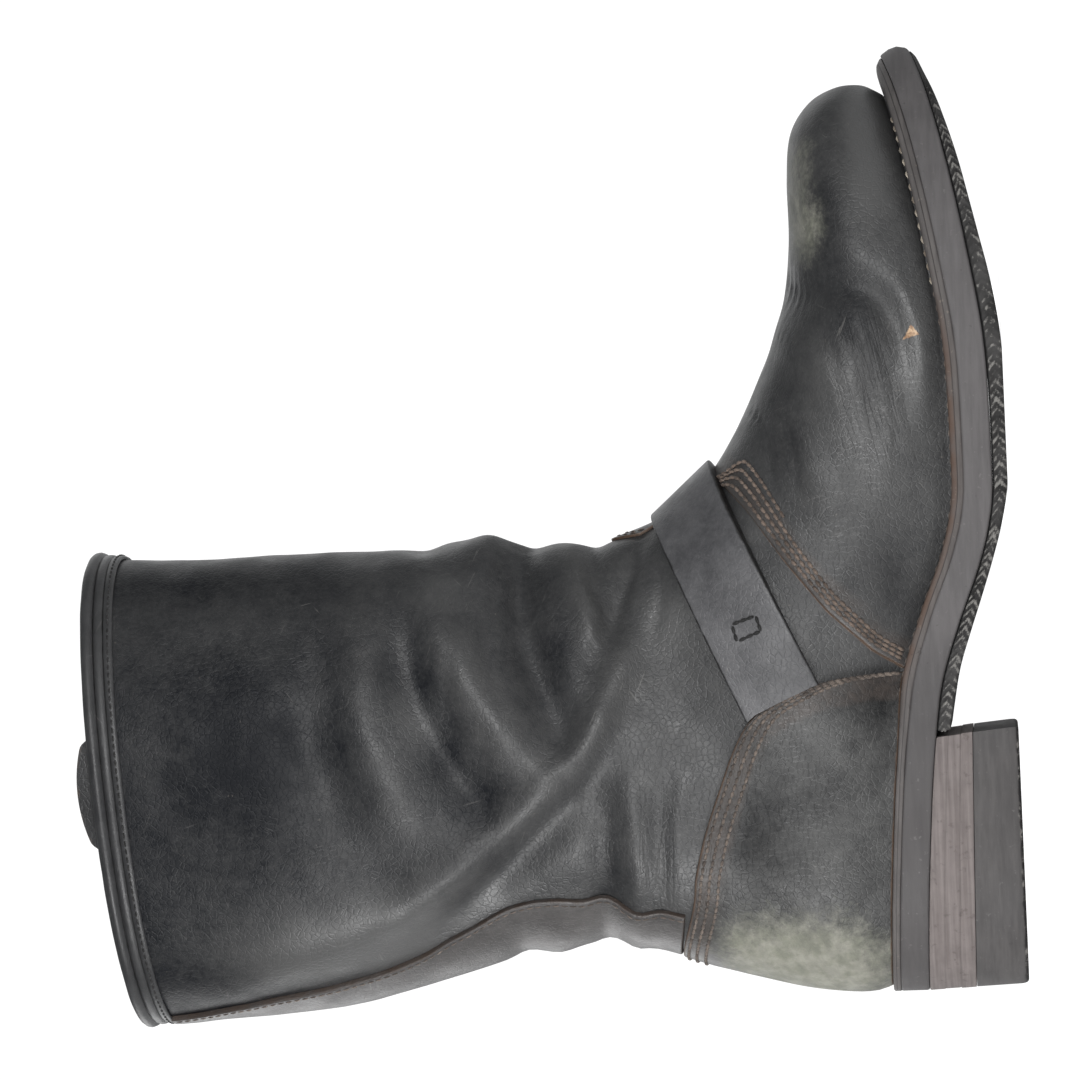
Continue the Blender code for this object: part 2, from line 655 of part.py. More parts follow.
grid = counter_grid(10, 9, COUNTER_ROWS)
grid[:, :3, 5] = 0.0
grid[:, :3, 3:] /= np.linalg.norm(grid[:, :3, 3:], axis=2, keepdims=True)
add_object("heel_counter", *laid_on(grid, COUNTER_T, 0.7),
           (0.035, 0.036, 0.038), 0.5)

rim_back = float(outer_grid[-1, 1, 2])
grid = []
for share in np.linspace(0.0, 1.0, 17):
    line = []
    for t in np.linspace(-1.0, 1.0, 9):
        low_z = COUNTER_BACK_Z + 1.0 - BACKSTAY_SAG * t * t
        z = low_z + (rim_back - BINDING_DEPTH - 1.0 - low_z) * share
        half = float(hermite(BACKSTAY[:, 0], BACKSTAY[:, 1], z))
        line.append(cast((70.0, half * t, z), (-1.0, 0.0, 0.0)))
    grid.append(line)
add_object("backstay", *laid_on(np.array(grid), BACKSTAY_T),
           (0.034, 0.035, 0.038), 0.5)

# ------------------------------------------------------------------ binding
below = outer_grid[-2, 1:-2]
top_ring = outer_grid[-1, 1:-2]
loops = []
for k in range(len(top_ring)):
    share = BINDING_DEPTH / (top_ring[k, 2] - below[k, 2])
    foot = top_ring[k] + (below[k] - top_ring[k]) * share
    loop = []
    for o, h in BINDING:
        start = top_ring[k] + (foot - top_ring[k]) * max(0.0, -h)
        start = start + level[k] * o
        start[2] += max(0.0, h)
        loop.append(start)
    loops.append(loop)
add_object("collar_binding", *ring_solid(np.array(loops)),
           (0.030, 0.031, 0.034), 0.45)

# ----------------------------------------------------------------- pull tab
medial_rim = outer_grid[-1, 1:HALF_RING + 2]
medial_out = level[:HALF_RING + 1]
grid_near, grid_far = [], []
for t in np.linspace(-1.0, 1.0, 9):
    x = 0.5 * (TAB_FROM + TAB_TO) + 0.5 * (TAB_TO - TAB_FROM) * t
    near = np.array([np.interp(x, medial_rim[:, 0], medial_rim[:, c])
                     for c in range(3)])
    away = np.array([np.interp(x, medial_rim[:, 0], medial_out[:, c])
                     for c in range(3)])
    high = TAB_TOP - 4.5 * t * t - 9.0 * max(0.0, abs(t) - 0.7) ** 2 / 0.09
    low_z = -TAB_DROP + 6.0 * max(0.0, abs(t) - 0.6) ** 2 / 0.16
    for store, off in ((grid_near, -5.1), (grid_far, -5.1 - TAB_T)):
        store.append([near + away * off + np.array([0.0, 0.0, h])
                      for h in (low_z, 0.5 * (low_z + high), high)])
add_object("pull_tab", *slab(np.array(grid_near), np.array(grid_far)),
           (0.040, 0.040, 0.042), 0.6)

# ------------------------------------------------------------- instep strap
ALONG = np.array([math.cos(STRAP_RISE), 0.0, math.sin(STRAP_RISE)])
ACROSS = np.array([-math.sin(STRAP_RISE), 0.0, math.cos(STRAP_RISE)])
SIDEWAYS = np.array([0.0, 1.0, 0.0])


def strap_point(r, s, turn):
    """Upper's face met from the strap's middle line; turn -1 medial side,
    0 over the instep, +1 lateral side."""
    angle = turn * math.pi / 2
    toward = ALONG * math.cos(angle) + SIDEWAYS * math.sin(angle)
    return cast(ALONG * r + ACROSS * s, toward)


def counter_edge_r(s):
    r = COUNTER_EDGE @ ALONG[[0, 2]]
    w = COUNTER_EDGE @ ACROSS[[0, 2]]
    keep = np.argsort(w)
    return float(np.interp(s, w[keep], r[keep]))


ACROSS_AT = np.linspace(STRAP_LOW, STRAP_HIGH, 5)


def strap_band(stations):
    """stations: (r, turn); r None starts beside the counter."""
    return np.array([[strap_point(
        counter_edge_r(s) + 0.9 if r is None else r, s, turn)
        for s in ACROSS_AT] for r, turn in stations])


def tail_lift(r):
    """Height of the strap's end over the upper: under the front bar of the
    buckle, over its back bar, then down on the chape and the counter."""
    up = ease((161.1 - r) / 16.0)
    down = ease((137.3 - r) / 8.0)
    return OVER_GAP + 7.6 * up - 3.9 * down


front = [(None, -1.0)] + [(r, -1.0) for r in np.linspace(
    126.2, STRAP_POLE, 5)]
front += [(STRAP_POLE, t) for t in np.linspace(-1.0, 1.0, 19)[1:]]
TAIL_R = np.linspace(STRAP_POLE, TAIL_TIP, 21)[1:]
band = strap_band(front + [(r, 1.0) for r in TAIL_R])
grid, out = band[..., :3], band[..., 3:]
# The tip of the tail is rounded.
tip = grid[:, 2] @ ALONG
for i in range(len(front), len(grid)):
    for j in range(5):
        t = abs(j - 2) / 2.0
        grid[i, j] += ALONG * 9.0 * t * t * float(ease((109.8 - tip[i]) / 10.0))
lift = np.where(grid[..., 1] > 0.0, tail_lift(grid @ ALONG), OVER_GAP)
strap_low = clear(grid + lift[..., None] * out, out, GAP)
strap_high = strap_low + STRAP_T * out
add_object("strap", *slab(strap_low, strap_high), (0.036, 0.037, 0.040), 0.45)

chape = [(None, 1.0)] + [(r, 1.0) for r in np.linspace(
    123.6, CHAPE_END, 4)]
add_object("strap_chape", *laid_on(strap_band(chape), STRAP_T),
           (0.036, 0.037, 0.040), 0.45)

# ------------------------------------------------------------------- buckle
MID_S = 0.5 * (STRAP_LOW + STRAP_HIGH)
HALF_STRAP = 0.5 * (STRAP_HIGH - STRAP_LOW)
centre = strap_point(BUCKLE_MID, MID_S, 1.0)[:3]
fore = strap_point(BUCKLE_MID + 10.0, MID_S, 1.0)[:3]
aft = strap_point(BUCKLE_MID - 10.0, MID_S, 1.0)[:3]
high_side = strap_point(BUCKLE_MID, MID_S + 10.0, 1.0)[:3]
low_side = strap_point(BUCKLE_MID, MID_S - 10.0, 1.0)[:3]
a_axis = fore - aft
a_axis /= np.linalg.norm(a_axis)
n_axis = np.cross(high_side - low_side, a_axis)
n_axis /= np.linalg.norm(n_axis)
if n_axis[1] < 0:
    n_axis = -n_axis
b_axis = np.cross(n_axis, a_axis)


def over(points, where, spread):
    """Highest of the given points above the buckle's plane near a place."""
    p = points.reshape(-1, 3) - centre
    near = np.abs(p @ a_axis - where) < spread
    return float(np.max((p @ n_axis)[near]))


def under(points, where, spread):
    """Lowest of the given points above the buckle's plane near a place."""
    p = points.reshape(-1, 3) - centre
    near = np.abs(p @ a_axis - where) < spread
    return float(np.min((p @ n_axis)[near]))


front_at, back_at = 0.5 * BUCKLE_LENGTH, -0.5 * BUCKLE_LENGTH
front_h = over(strap_high[15:28], front_at, 4.5) + GAP + 0.2 + WIRE_R
back_h = under(strap_low[24:42], back_at, 3.5) - GAP - 0.1 - WIRE_R


def buckle_place(a, b, h):
    base = front_h + (back_h - front_h) * (front_at - a) / BUCKLE_LENGTH
    return centre + a_axis * a + b_axis * b + n_axis * (base + h)


half_a, half_b, corner = 0.5 * BUCKLE_LENGTH, HALF_STRAP + 1.4 + WIRE_R, 4.0
path = []
for ca, cb, first in ((1, 1, 0), (-1, 1, 1), (-1, -1, 2), (1, -1, 3)):
    for k in range(4):
        turn = (first + k / 3.0) * math.pi / 2
        path.append((ca * (half_a - corner) + corner * math.cos(turn),
                     cb * (half_b - corner) + corner * math.sin(turn)))
path = np.array(path)
ahead = np.roll(path, -1, 0) - np.roll(path, 1, 0)
ahead /= np.linalg.norm(ahead, axis=1, keepdims=True)
loops = []
for (a, b), (ta, tb) in zip(path, ahead):
    loop = []
    for k in range(8):
        turn = 2.0 * math.pi * (k + 0.5) / 8.0
        o, h = WIRE_R * math.cos(turn), WIRE_R * math.sin(turn)
        loop.append(buckle_place(a + tb * o, b - ta * o, h))
    loops.append(loop)
add_object("buckle_frame", *ring_solid(np.array(loops)),
           (0.55, 0.54, 0.52), 0.3, 1.0)

# Prong: out of the hole in the strap, over the front bar.
start_a = 1.0
start_h = over(strap_high[18:34], start_a, 3.0)
low_line = [(start_a, start_h + GAP + 0.2), (half_a - 2.2, None),
            (half_a + 2.6, None)]
inner_line, outer_line = [], []
for a, h in low_line:
    bar = buckle_place(a, 0.0, WIRE_R + GAP)
    lower = bar if h is None else centre + a_axis * a + n_axis * max(
        h, float(np.dot(bar - centre, n_axis)))
    inner_line.append([lower - b_axis * 1.7, lower + b_axis * 1.7])
    thick = 2.4 if a < half_a else 1.6
    outer_line.append([lower - b_axis * 1.7 + n_axis * thick,
                       lower + b_axis * 1.7 + n_axis * thick])
add_object("buckle_prong", *slab(np.array(inner_line), np.array(outer_line)),
           (0.55, 0.54, 0.52), 0.3, 1.0)

# Keeper: a leather bridge over the tail and the chape.
inside, outside = [], []
tail_top = strap_high[len(front):]
for r in (KEEPER_FROM, 0.5 * (KEEPER_FROM + KEEPER_TO), KEEPER_TO):
    over_tail = np.array([[np.interp(-r, -TAIL_R, tail_top[:, j, c])
                           for c in range(3)] for j in range(5)])
    over_tail = over_tail + n_axis * 0.5
    for store, grow in ((inside, 0.0), (outside, KEEPER_T)):
        row = list(over_tail + n_axis * grow)
        for end, s in ((0, -1.0), (4, 1.0)):
            beside = over_tail[end] + ACROSS * s * (0.7 + grow) + n_axis * grow
            edge = STRAP_LOW if s < 0 else STRAP_HIGH
            foot = strap_point(r, edge + s * (0.7 + grow), 1.0)
            foot = foot[:3] + foot[3:] * (OVER_GAP + 0.2)
            row = [foot, beside] + row if s < 0 else row + [beside, foot]
        store.append(row)
add_object("strap_keeper", *slab(np.array(inside), np.array(outside)),
           (0.036, 0.037, 0.040), 0.45)
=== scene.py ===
"""Engineer boot, left foot: its looks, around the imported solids.

Sizes are in millimetres of the boot while building (x from the back of the
heel, y to the outer side, z from the floor) and in metres in the objects.
"""
import math

import bmesh
import bpy
import numpy as np
from mathutils import Matrix, Vector, noise
from mathutils.bvhtree import BVHTree


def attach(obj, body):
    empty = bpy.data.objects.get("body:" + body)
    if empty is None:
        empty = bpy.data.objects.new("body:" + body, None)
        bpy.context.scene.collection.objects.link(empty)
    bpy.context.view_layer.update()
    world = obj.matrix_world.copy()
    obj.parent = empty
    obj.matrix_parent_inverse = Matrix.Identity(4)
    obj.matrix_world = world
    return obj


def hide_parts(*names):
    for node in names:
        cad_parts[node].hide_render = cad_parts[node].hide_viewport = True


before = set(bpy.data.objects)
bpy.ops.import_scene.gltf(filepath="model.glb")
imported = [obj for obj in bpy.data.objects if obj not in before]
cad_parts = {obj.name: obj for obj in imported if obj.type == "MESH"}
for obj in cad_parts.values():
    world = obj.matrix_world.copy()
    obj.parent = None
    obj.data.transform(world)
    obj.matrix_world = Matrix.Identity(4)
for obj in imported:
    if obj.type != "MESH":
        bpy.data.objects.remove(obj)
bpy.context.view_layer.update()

MM = 0.001
ORIGIN = np.array([152.4, 2.3, 0.0])
GAP, WALL, SOLE_T, WELT_T, RAND_T, INSOLE_T = 0.3, 2.4, 9.0, 3.4, 2.2, 3.5
FEATHER_WALL, COUNTER_T, BACKSTAY_T, STRAP_T = 4.0, 2.0, 1.8, 3.0
BREAST_TOP, BREAST_FLOOR, HEEL_TAPER = 84.5, 87.0, 1.2
LIFT_BACK, LIFT_BREAST = 16.8, 14.4
HEEL_BACK, TOE_TIP, HEEL_ROW = 1.8, 306.4, 16

# ------------------------------------------------ the last, as in the solids
SOLE_PROFILE = np.array([            # x, z of the midsole's bottom line
    (0.0, 32.0), (45.0, 29.6), (87.0, 25.4), (101.0, 22.4), (121.0, 14.4),
    (140.0, 5.6), (154.0, 1.3), (165.0, 0.0), (200.0, 0.0), (214.0, 0.9),
    (231.0, 3.2), (261.0, 8.2), (281.0, 12.4), (296.0, 16.4), (306.4, 20.0)])
TREAD_PROFILE = np.array([           # x, z of the half sole's bottom line
    (85.0, 21.7), (93.0, 20.3), (105.0, 17.8), (116.0, 14.1), (128.0, 9.8),
    (140.0, 5.7), (152.0, 2.2), (159.0, 0.7), (165.0, 0.0), (204.0, 0.0),
    (212.0, 0.5), (220.0, 1.5), (231.0, 3.4), (242.0, 5.8), (254.0, 8.4),
    (266.0, 11.1), (278.0, 14.4), (289.0, 17.9), (298.0, 21.5), (306.4, 24.6)])
TREAD_BACK = 86.2
PLAN = np.array([                    # x, axis_y, half_width, sole_half_width
    (6.3, 0.0, 0.0, 0.0), (11.2, 0.0, 16.2, 17.2), (26.0, 0.0, 28.0, 30.6),
    (45.0, 0.0, 32.0, 35.2), (75.0, 0.8, 32.4, 36.0),
    (105.0, 3.5, 32.6, 37.2), (140.0, 5.5, 37.4, 43.8),
    (175.0, 4.3, 44.0, 51.0), (206.0, 2.2, 47.3, 54.2),
    (230.0, 0.7, 45.7, 51.7), (248.5, -0.5, 41.5, 46.5),
    (262.0, -1.6, 36.0, 39.7), (272.0, -2.4, 29.7, 32.0),
    (280.0, -3.1, 22.5, 23.9), (285.5, -3.6, 15.5, 16.4),
    (290.5, -4.0, 0.0, 0.0)])
SECTION_COLUMNS = ("base_x", "rise", "crest_x", "crest_z", "half_width",
                   "widest", "base_power", "crest_power", "crest_y")
SECTIONS = np.array([
    (290.5, 0.0, 290.5, 28.0, 0.0, 0.40, 2.00, 2.00, -4.0),
    (289.0, 0.0, 292.5, 31.8, 8.9, 0.40, 2.00, 2.00, -4.0),
    (285.5, 0.0, 294.0, 36.5, 16.9, 0.40, 2.00, 2.30, -4.0),
    (280.0, 0.0, 293.2, 44.0, 24.6, 0.40, 2.00, 2.50, -3.9),
    (272.0, 0.0, 288.6, 52.2, 32.5, 0.40, 2.00, 2.60, -3.8),
    (262.0, 0.0, 279.0, 58.5, 39.3, 0.38, 2.00, 2.60, -3.8),
    (248.5, 0.0, 264.0, 60.4, 45.0, 0.36, 2.00, 2.50, -4.0),
    (230.0, 0.0, 243.0, 61.0, 48.8, 0.33, 2.00, 2.35, -4.5),
    (206.0, 0.0, 220.0, 65.2, 50.0, 0.31, 2.00, 2.20, -5.0),
    (179.0, 0.0, 198.5, 74.2, 48.0, 0.30, 2.00, 2.05, -5.0),
    (151.0, 0.0, 181.0, 83.0, 44.2, 0.31, 1.80, 1.95, -4.0),
    (121.0, 0.0, 167.0, 93.5, 40.8, 0.34, 1.75, 1.92, -3.0),
    (89.0, 0.0, 157.5, 106.7, 38.6, 0.38, 1.70, 1.95, -1.5),
    (53.0, 0.0, 152.8, 118.0, 37.2, 0.41, 1.75, 2.00, -0.5),
    (26.0, 0.0, 151.0, 126.5, 36.4, 0.42, 1.90, 2.10, 0.0),
    (11.2, 0.0, 150.6, 133.0, 36.1, 0.42, 2.10, 2.15, 0.0),
    (6.3, 0.0, 151.0, 139.0, 36.1, 0.42, 2.20, 2.15, 0.0),
    (4.3, 7.2, 151.9, 145.0, 36.4, 0.43, 2.25, 2.15, 0.0),
    (6.4, 25.0, 153.3, 153.5, 37.0, 0.44, 2.25, 2.15, 0.0),
    (13.2, 52.0, 153.8, 166.0, 38.0, 0.45, 2.25, 2.15, 0.0),
    (21.6, 81.5, 152.2, 183.0, 39.8, 0.46, 2.20, 2.15, 0.0),
    (21.4, 109.5, 151.0, 202.0, 42.0, 0.47, 2.15, 2.15, 0.0),
    (13.6, 139.0, 151.1, 222.0, 44.2, 0.48, 2.15, 2.15, 0.0),
    (5.6, 173.0, 151.5, 244.0, 46.2, 0.49, 2.15, 2.15, 0.0),
    (2.2, 207.0, 151.3, 267.0, 47.6, 0.50, 2.15, 2.15, 0.0),
    (0.7, 239.0, 152.2, 291.3, 48.2, 0.50, 2.15, 2.15, 0.0)])
COUNTER_EDGE = np.array([            # x, z from the welt up and back
    (105.6, 36.2), (104.9, 47.6), (102.6, 63.2), (98.6, 73.3), (92.7, 83.4),
    (83.0, 89.8), (71.7, 94.6), (52.8, 101.4), (42.0, 104.2)])
COUNTER_BACK_Z, HEEL_POLE_X = 110.0, 42.0
BACKSTAY = np.array([                # z, half_width
    (110.0, 28.0), (126.0, 27.2), (138.0, 27.4), (150.0, 29.2),
    (162.0, 29.0), (180.0, 26.4), (200.0, 23.4), (225.0, 21.8),
    (242.0, 20.4), (256.0, 17.8), (270.0, 13.6), (286.0, 11.4)])
BACKSTAY_SAG = 2.9
STRAP_RISE = math.radians(23.9)
STRAP_LOW, STRAP_HIGH, STRAP_POLE, CHAPE_END = 15.4, 40.6, 152.6, 135.3
BUCKLE_MID, BUCKLE_LENGTH, WIRE_R, TAIL_TIP = 153.1, 25.0, 1.7, 99.8
KEEPER_FROM, KEEPER_TO, KEEPER_T = 121.8, 128.8, 1.4
TAB_FROM, TAB_TO, TAB_DROP, TAB_TOP, TAB_T = 55.0, 99.0, 40.0, 10.0, 2.2

# ------------------------------------------------------ seams, in side view
VAMP_EDGE = np.array([               # x, z of the vamp's cut edge
    (92.0, 16.0), (104.0, 29.5), (107.5, 34.8), (112.7, 42.9), (125.8, 55.7),
    (141.2, 66.6), (158.6, 78.0), (166.6, 85.0), (170.8, 89.0), (173.0, 93.6),
    (174.4, 101.0)])
VAMP_ROW = 11.2                      # grid row that is bent onto that edge
VAMP_STEP = 1.5                      # how far the vamp stands over the quarter

# Folds and creases.  way: medial / lateral are (x, z) lines on that side,
# back / front are (y, z) lines on the heel line or the shin line.  height is
# the rise (ridge) or fall (trough) and width its reach.
CREASES = [
    # way, height, width, line
    # the long fold from the back of the shaft to the instep
    ("medial", 2.6, 13.0, [(14, 252), (22, 238), (30, 216), (39, 195),
                           (49, 180)]),
    ("medial", 3.0, 7.5, [(36, 200), (49, 180), (61, 164), (71, 152),
                          (82, 140), (93, 133)]),
    ("medial", 2.0, 5.0, [(82, 140), (92, 134), (104, 128.5), (118, 121)]),
    ("medial", -2.4, 8.0, [(30, 186), (42, 170), (54, 156), (66, 144),
                           (78, 131)]),
    # ankle fold: the deep dark trough and the ridge over it
    ("medial", -4.4, 8.5, [(156, 159), (141, 157.5), (121, 154.5),
                           (104, 149.5), (91, 145)]),
    ("medial", 3.2, 10.0, [(146, 189), (127, 183), (113, 176.5),
                           (100, 169.5), (88, 161), (78, 151.5)]),
    ("medial", 1.8, 5.0, [(153, 142), (140, 139), (128, 135.5), (116, 131)]),
    ("medial", -2.4, 4.6, [(152, 119), (144, 121), (134, 124.5), (122, 129),
                           (112, 134)]),
    ("medial", -2.7, 10.5, [(124, 194), (105, 191), (90, 184), (77, 176),
                            (66, 169)]),
    ("medial", -0.4, 2.4, [(96, 170.5), (84, 169.5), (72, 169), (62, 170)]),
    ("medial", 2.0, 11.0, [(140, 204), (123, 206), (105, 207), (88, 205),
                           (73, 199), (62, 189)]),
    ("medial", -1.6, 12.0, [(110, 222), (92, 222), (74, 218), (58, 211),
                            (46, 204)]),
    # back of the ankle
    ("medial", -1.7, 6.5, [(24, 134), (38, 133.5), (50, 132.5), (62, 132),
                           (74, 134)]),
    ("medial", 1.2, 4.6, [(26, 123.5), (37, 122.8), (50, 122.4), (62, 122.5),
                          (74, 124)]),
    ("medial", -0.8, 3.6, [(28, 116.5), (40, 115.3), (52, 114.5), (64, 114),
                           (76, 112)]),
    ("medial", 0.6, 3.4, [(36, 110.5), (50, 109.5), (64, 108), (78, 104)]),
    # small wrinkles between the ankle and the counter
    ("medial", -0.6, 2.4, [(62, 141), (76, 136), (90, 127), (104, 116)]),
    ("medial", -0.5, 2.2, [(60, 131), (74, 127), (88, 120), (102, 109)]),
    ("medial", -0.35, 2.4, [(70, 122), (82, 118), (94, 111), (104, 101)]),
    ("medial", -0.25, 2.4, [(80, 113), (90, 108), (100, 99), (106, 91)]),
    ("medial", -0.8, 2.4, [(88, 176), (104, 180), (120, 179), (136, 175)]),
    ("medial", -0.7, 2.2, [(108, 166), (122, 168), (136, 166), (150, 162)]),
    ("medial", -0.7, 2.4, [(118, 116), (130, 112), (140, 112), (150, 116)]),
    # vamp: the break behind the toes and the small creases around it
    ("medial", -2.2, 7.5, [(232, 68), (227, 65), (228, 52), (225, 40),
                           (217, 34), (205, 31)]),
    ("medial", 1.2, 8.0, [(216, 71), (208, 64), (200, 55), (190, 48)]),
    ("medial", -0.45, 2.4, [(217, 51), (203, 45.5), (189, 42), (174, 41)]),
    ("medial", -0.45, 2.4, [(212, 46), (200, 42), (189, 39.5), (176, 38)]),
    ("medial", -0.40, 2.4, [(216, 42), (203, 36.5), (194, 32.5), (184, 30)]),
    ("medial", -0.30, 2.4, [(208, 38), (196, 36), (184, 34.5), (170, 34)]),
    ("medial", -0.30, 2.4, [(222, 59), (208, 53), (196, 50), (184, 49)]),
    ("medial", 1.1, 5.0, [(228, 33), (216, 27.5), (202, 25), (188, 25)]),
    ("medial", -0.8, 2.6, [(190, 80), (185, 76), (176, 74.5), (165, 73)]),
    ("medial", -0.6, 2.2, [(193, 72), (184, 68), (174, 66), (163, 65)]),
    ("medial", 1.0, 8.0, [(186, 72), (178, 65), (168, 60), (158, 54)]),
    # outer side, like the other boot of the pair
    ("lateral", 2.6, 12.0, [(14, 250), (22, 232), (32, 210), (44, 190)]),
    ("lateral", 2.6, 8.5, [(34, 206), (48, 184), (66, 166), (86, 150),
                           (108, 134)]),
    ("lateral", -2.0, 8.0, [(28, 188), (42, 170), (60, 155), (76, 142)]),
    ("lateral", 2.4, 9.0, [(151, 182), (134, 184), (116, 180), (100, 171),
                           (88, 160)]),
    ("lateral", -3.8, 9.0, [(154, 162), (134, 161), (118, 156), (102, 149)]),
    ("lateral", 1.5, 7.0, [(152, 146), (138, 145), (124, 141)]),
    ("lateral", -1.8, 7.5, [(54, 188), (74, 195), (96, 196), (118, 193)]),
    ("lateral", 1.6, 9.0, [(60, 200), (82, 206), (106, 206), (130, 202)]),
    ("lateral", -2.2, 6.0, [(26, 136), (42, 133), (60, 134), (80, 139)]),
    ("lateral", 1.3, 4.0, [(30, 125), (48, 123.5), (68, 125)]),
    ("lateral", -1.0, 3.0, [(36, 118), (54, 115), (74, 111), (92, 106)]),
    ("lateral", -0.8, 2.6, [(62, 142), (80, 136), (98, 127), (116, 120)]),
    ("lateral", -2.0, 7.5, [(233, 67), (228, 60), (222, 52), (214, 44)]),
    ("lateral", 1.0, 7.0, [(220, 71), (210, 64), (200, 54)]),
    ("lateral", -0.8, 2.3, [(226, 56), (210, 50), (194, 46), (178, 43)]),
    ("lateral", -0.7, 2.1, [(222, 49), (206, 43), (190, 39)]),
    ("lateral", -0.8, 2.6, [(191, 78), (186, 70), (183, 61)]),
    # round the back of the ankle and over the shin
    ("back", -2.4, 6.0, [(-26, 133.5), (-14, 134), (0, 134.5), (14, 134),
                         (26, 134)]),
    ("back", 1.4, 6.0, [(-24, 148), (-12, 150), (0, 151), (12, 150),
                        (24, 149)]),
    ("back", -1.5, 5.0, [(-24, 163), (-12, 162), (0, 162), (12, 163),
                         (24, 164)]),
    ("back", 1.0, 3.4, [(-24, 123.5), (-10, 124.5), (2, 125), (16, 124)]),
    ("front", -1.8, 7.0, [(-26, 157), (-12, 154), (0, 153.5), (12, 155),
                          (26, 159)]),
    ("front", 1.4, 7.0, [(-26, 174), (-12, 170), (0, 169), (12, 171),
                         (26, 176)]),
    ("front", -1.4, 6.0, [(-22, 134), (-10, 134), (2, 134), (14, 136),
                          (24, 139)]),
    ("front", -1.0, 7.0, [(-24, 191), (-10, 189), (6, 190), (22, 194)]),
]


# ------------------------------------------------------------ curve helpers
def hermite(xk, yk, x, steady=True):
    """Cubic through the rows; steady keeps it from overshooting a row."""
    xk, yk, x = (np.asarray(v, float) for v in (xk, yk, x))
    if xk[0] > xk[-1]:
        xk, yk = xk[::-1], yk[::-1]
    step = np.diff(xk)
    slope = np.diff(yk) / step
    tangent = np.empty_like(yk)
    tangent[1:-1] = ((slope[:-1] * step[1:] + slope[1:] * step[:-1])
                     / (step[:-1] + step[1:]))
    tangent[0] = 1.5 * slope[0] - 0.5 * tangent[1]
    tangent[-1] = 1.5 * slope[-1] - 0.5 * tangent[-2]
    if steady:
        low = np.minimum(np.abs(slope[:-1]), np.abs(slope[1:]))
        tangent[1:-1] = np.where(slope[:-1] * slope[1:] > 0, np.clip(
            tangent[1:-1], -3 * low, 3 * low), 0.0)
    x = np.clip(x, xk[0], xk[-1])
    i = np.clip(np.searchsorted(xk, x, side="right") - 1, 0, len(xk) - 2)
    t = (x - xk[i]) / step[i]
    return ((2 * t**3 - 3 * t**2 + 1) * yk[i]
            + (t**3 - 2 * t**2 + t) * step[i] * tangent[i]
            + (3 * t**2 - 2 * t**3) * yk[i + 1]
            + (t**3 - t**2) * step[i] * tangent[i + 1])


def ease(t):
    t = np.clip(t, 0.0, 1.0)
    return t * t * (3.0 - 2.0 * t)


def unit(v):
    v = np.asarray(v, float)
    return v / np.maximum(np.linalg.norm(v, axis=-1, keepdims=True), 1e-12)


def run_of(points):
    return np.concatenate([[0.0], np.cumsum(np.linalg.norm(
        np.diff(points, axis=0), axis=1))])


def along(points, at):
    """Points at the given run lengths of a line."""
    run = run_of(points)
    return np.stack([np.interp(at, run, points[:, c])
                     for c in range(points.shape[1])], 1)


def smooth_line(points, spacing):
    """Rounded line through a few points, sampled at an even spacing."""
    points = np.asarray(points, float)
    run = run_of(points)
    fine = np.linspace(0.0, run[-1], max(8, int(run[-1] / spacing) * 3))
    line = np.stack([hermite(run, points[:, c], fine, False)
                     for c in range(points.shape[1])], 1)
    total = run_of(line)[-1]
    return along(line, np.linspace(0.0, total, max(4, int(total / spacing))))


def tread_lift(x):
    """How far the half sole lifts the boot in front of the heel."""
    return 4.7 * ease((np.asarray(x) - 75.0) / 90.0) + 1.5 * np.clip(
        (np.asarray(x) - 165.0) / 140.0, 0.0, 1.0)


SOLE_PROFILE[:, 1] += tread_lift(SOLE_PROFILE[:, 0])
COUNTER_EDGE[:, 1] += tread_lift(COUNTER_EDGE[:, 0])
VAMP_EDGE[:, 1] += tread_lift(VAMP_EDGE[:, 0])
SECTIONS[:, 3] += tread_lift(SECTIONS[:, 2])


def sole_bottom(x):
    return hermite(SOLE_PROFILE[:, 0], SOLE_PROFILE[:, 1], x)


def tread_bottom(x):
    return hermite(TREAD_PROFILE[:, 0], TREAD_PROFILE[:, 1], x)


def sole_top(x):
    at = np.clip(x, SOLE_PROFILE[0, 0] + 1.0, SOLE_PROFILE[-1, 0] - 1.0)
    slope = (sole_bottom(at + 1.0) - sole_bottom(at - 1.0)) / 2.0
    return sole_bottom(x) + SOLE_T * np.sqrt(1.0 + slope**2)


def feather_z(x):
    return sole_top(x) + GAP


def welt_thickness(x):
    return RAND_T + (WELT_T - RAND_T) * ease((np.asarray(x) - 78.0) / 30.0)


def welt_top(x):
    return feather_z(x) + welt_thickness(x)


def plan_axis(x):
    return hermite(PLAN[:, 0], PLAN[:, 1], x)


def plan_half(x, column=2):
    return np.sqrt(np.maximum(
        hermite(PLAN[:, 0], PLAN[:, column]**2, x), 0.0))


def sole_x(x):
    first, last = PLAN[0, 0], PLAN[-1, 0]
    return HEEL_BACK + (x - first) / (last - first) * (TOE_TIP - HEEL_BACK)


def feather_x(x):
    first, last = PLAN[0, 0], PLAN[-1, 0]
    return first + (x - HEEL_BACK) / (TOE_TIP - HEEL_BACK) * (last - first)


def section(u):
    row = np.arange(len(SECTIONS))
    return {name: float(hermite(row, SECTIONS[:, k], u, name == "rise"))
            for k, name in enumerate(SECTION_COLUMNS)}


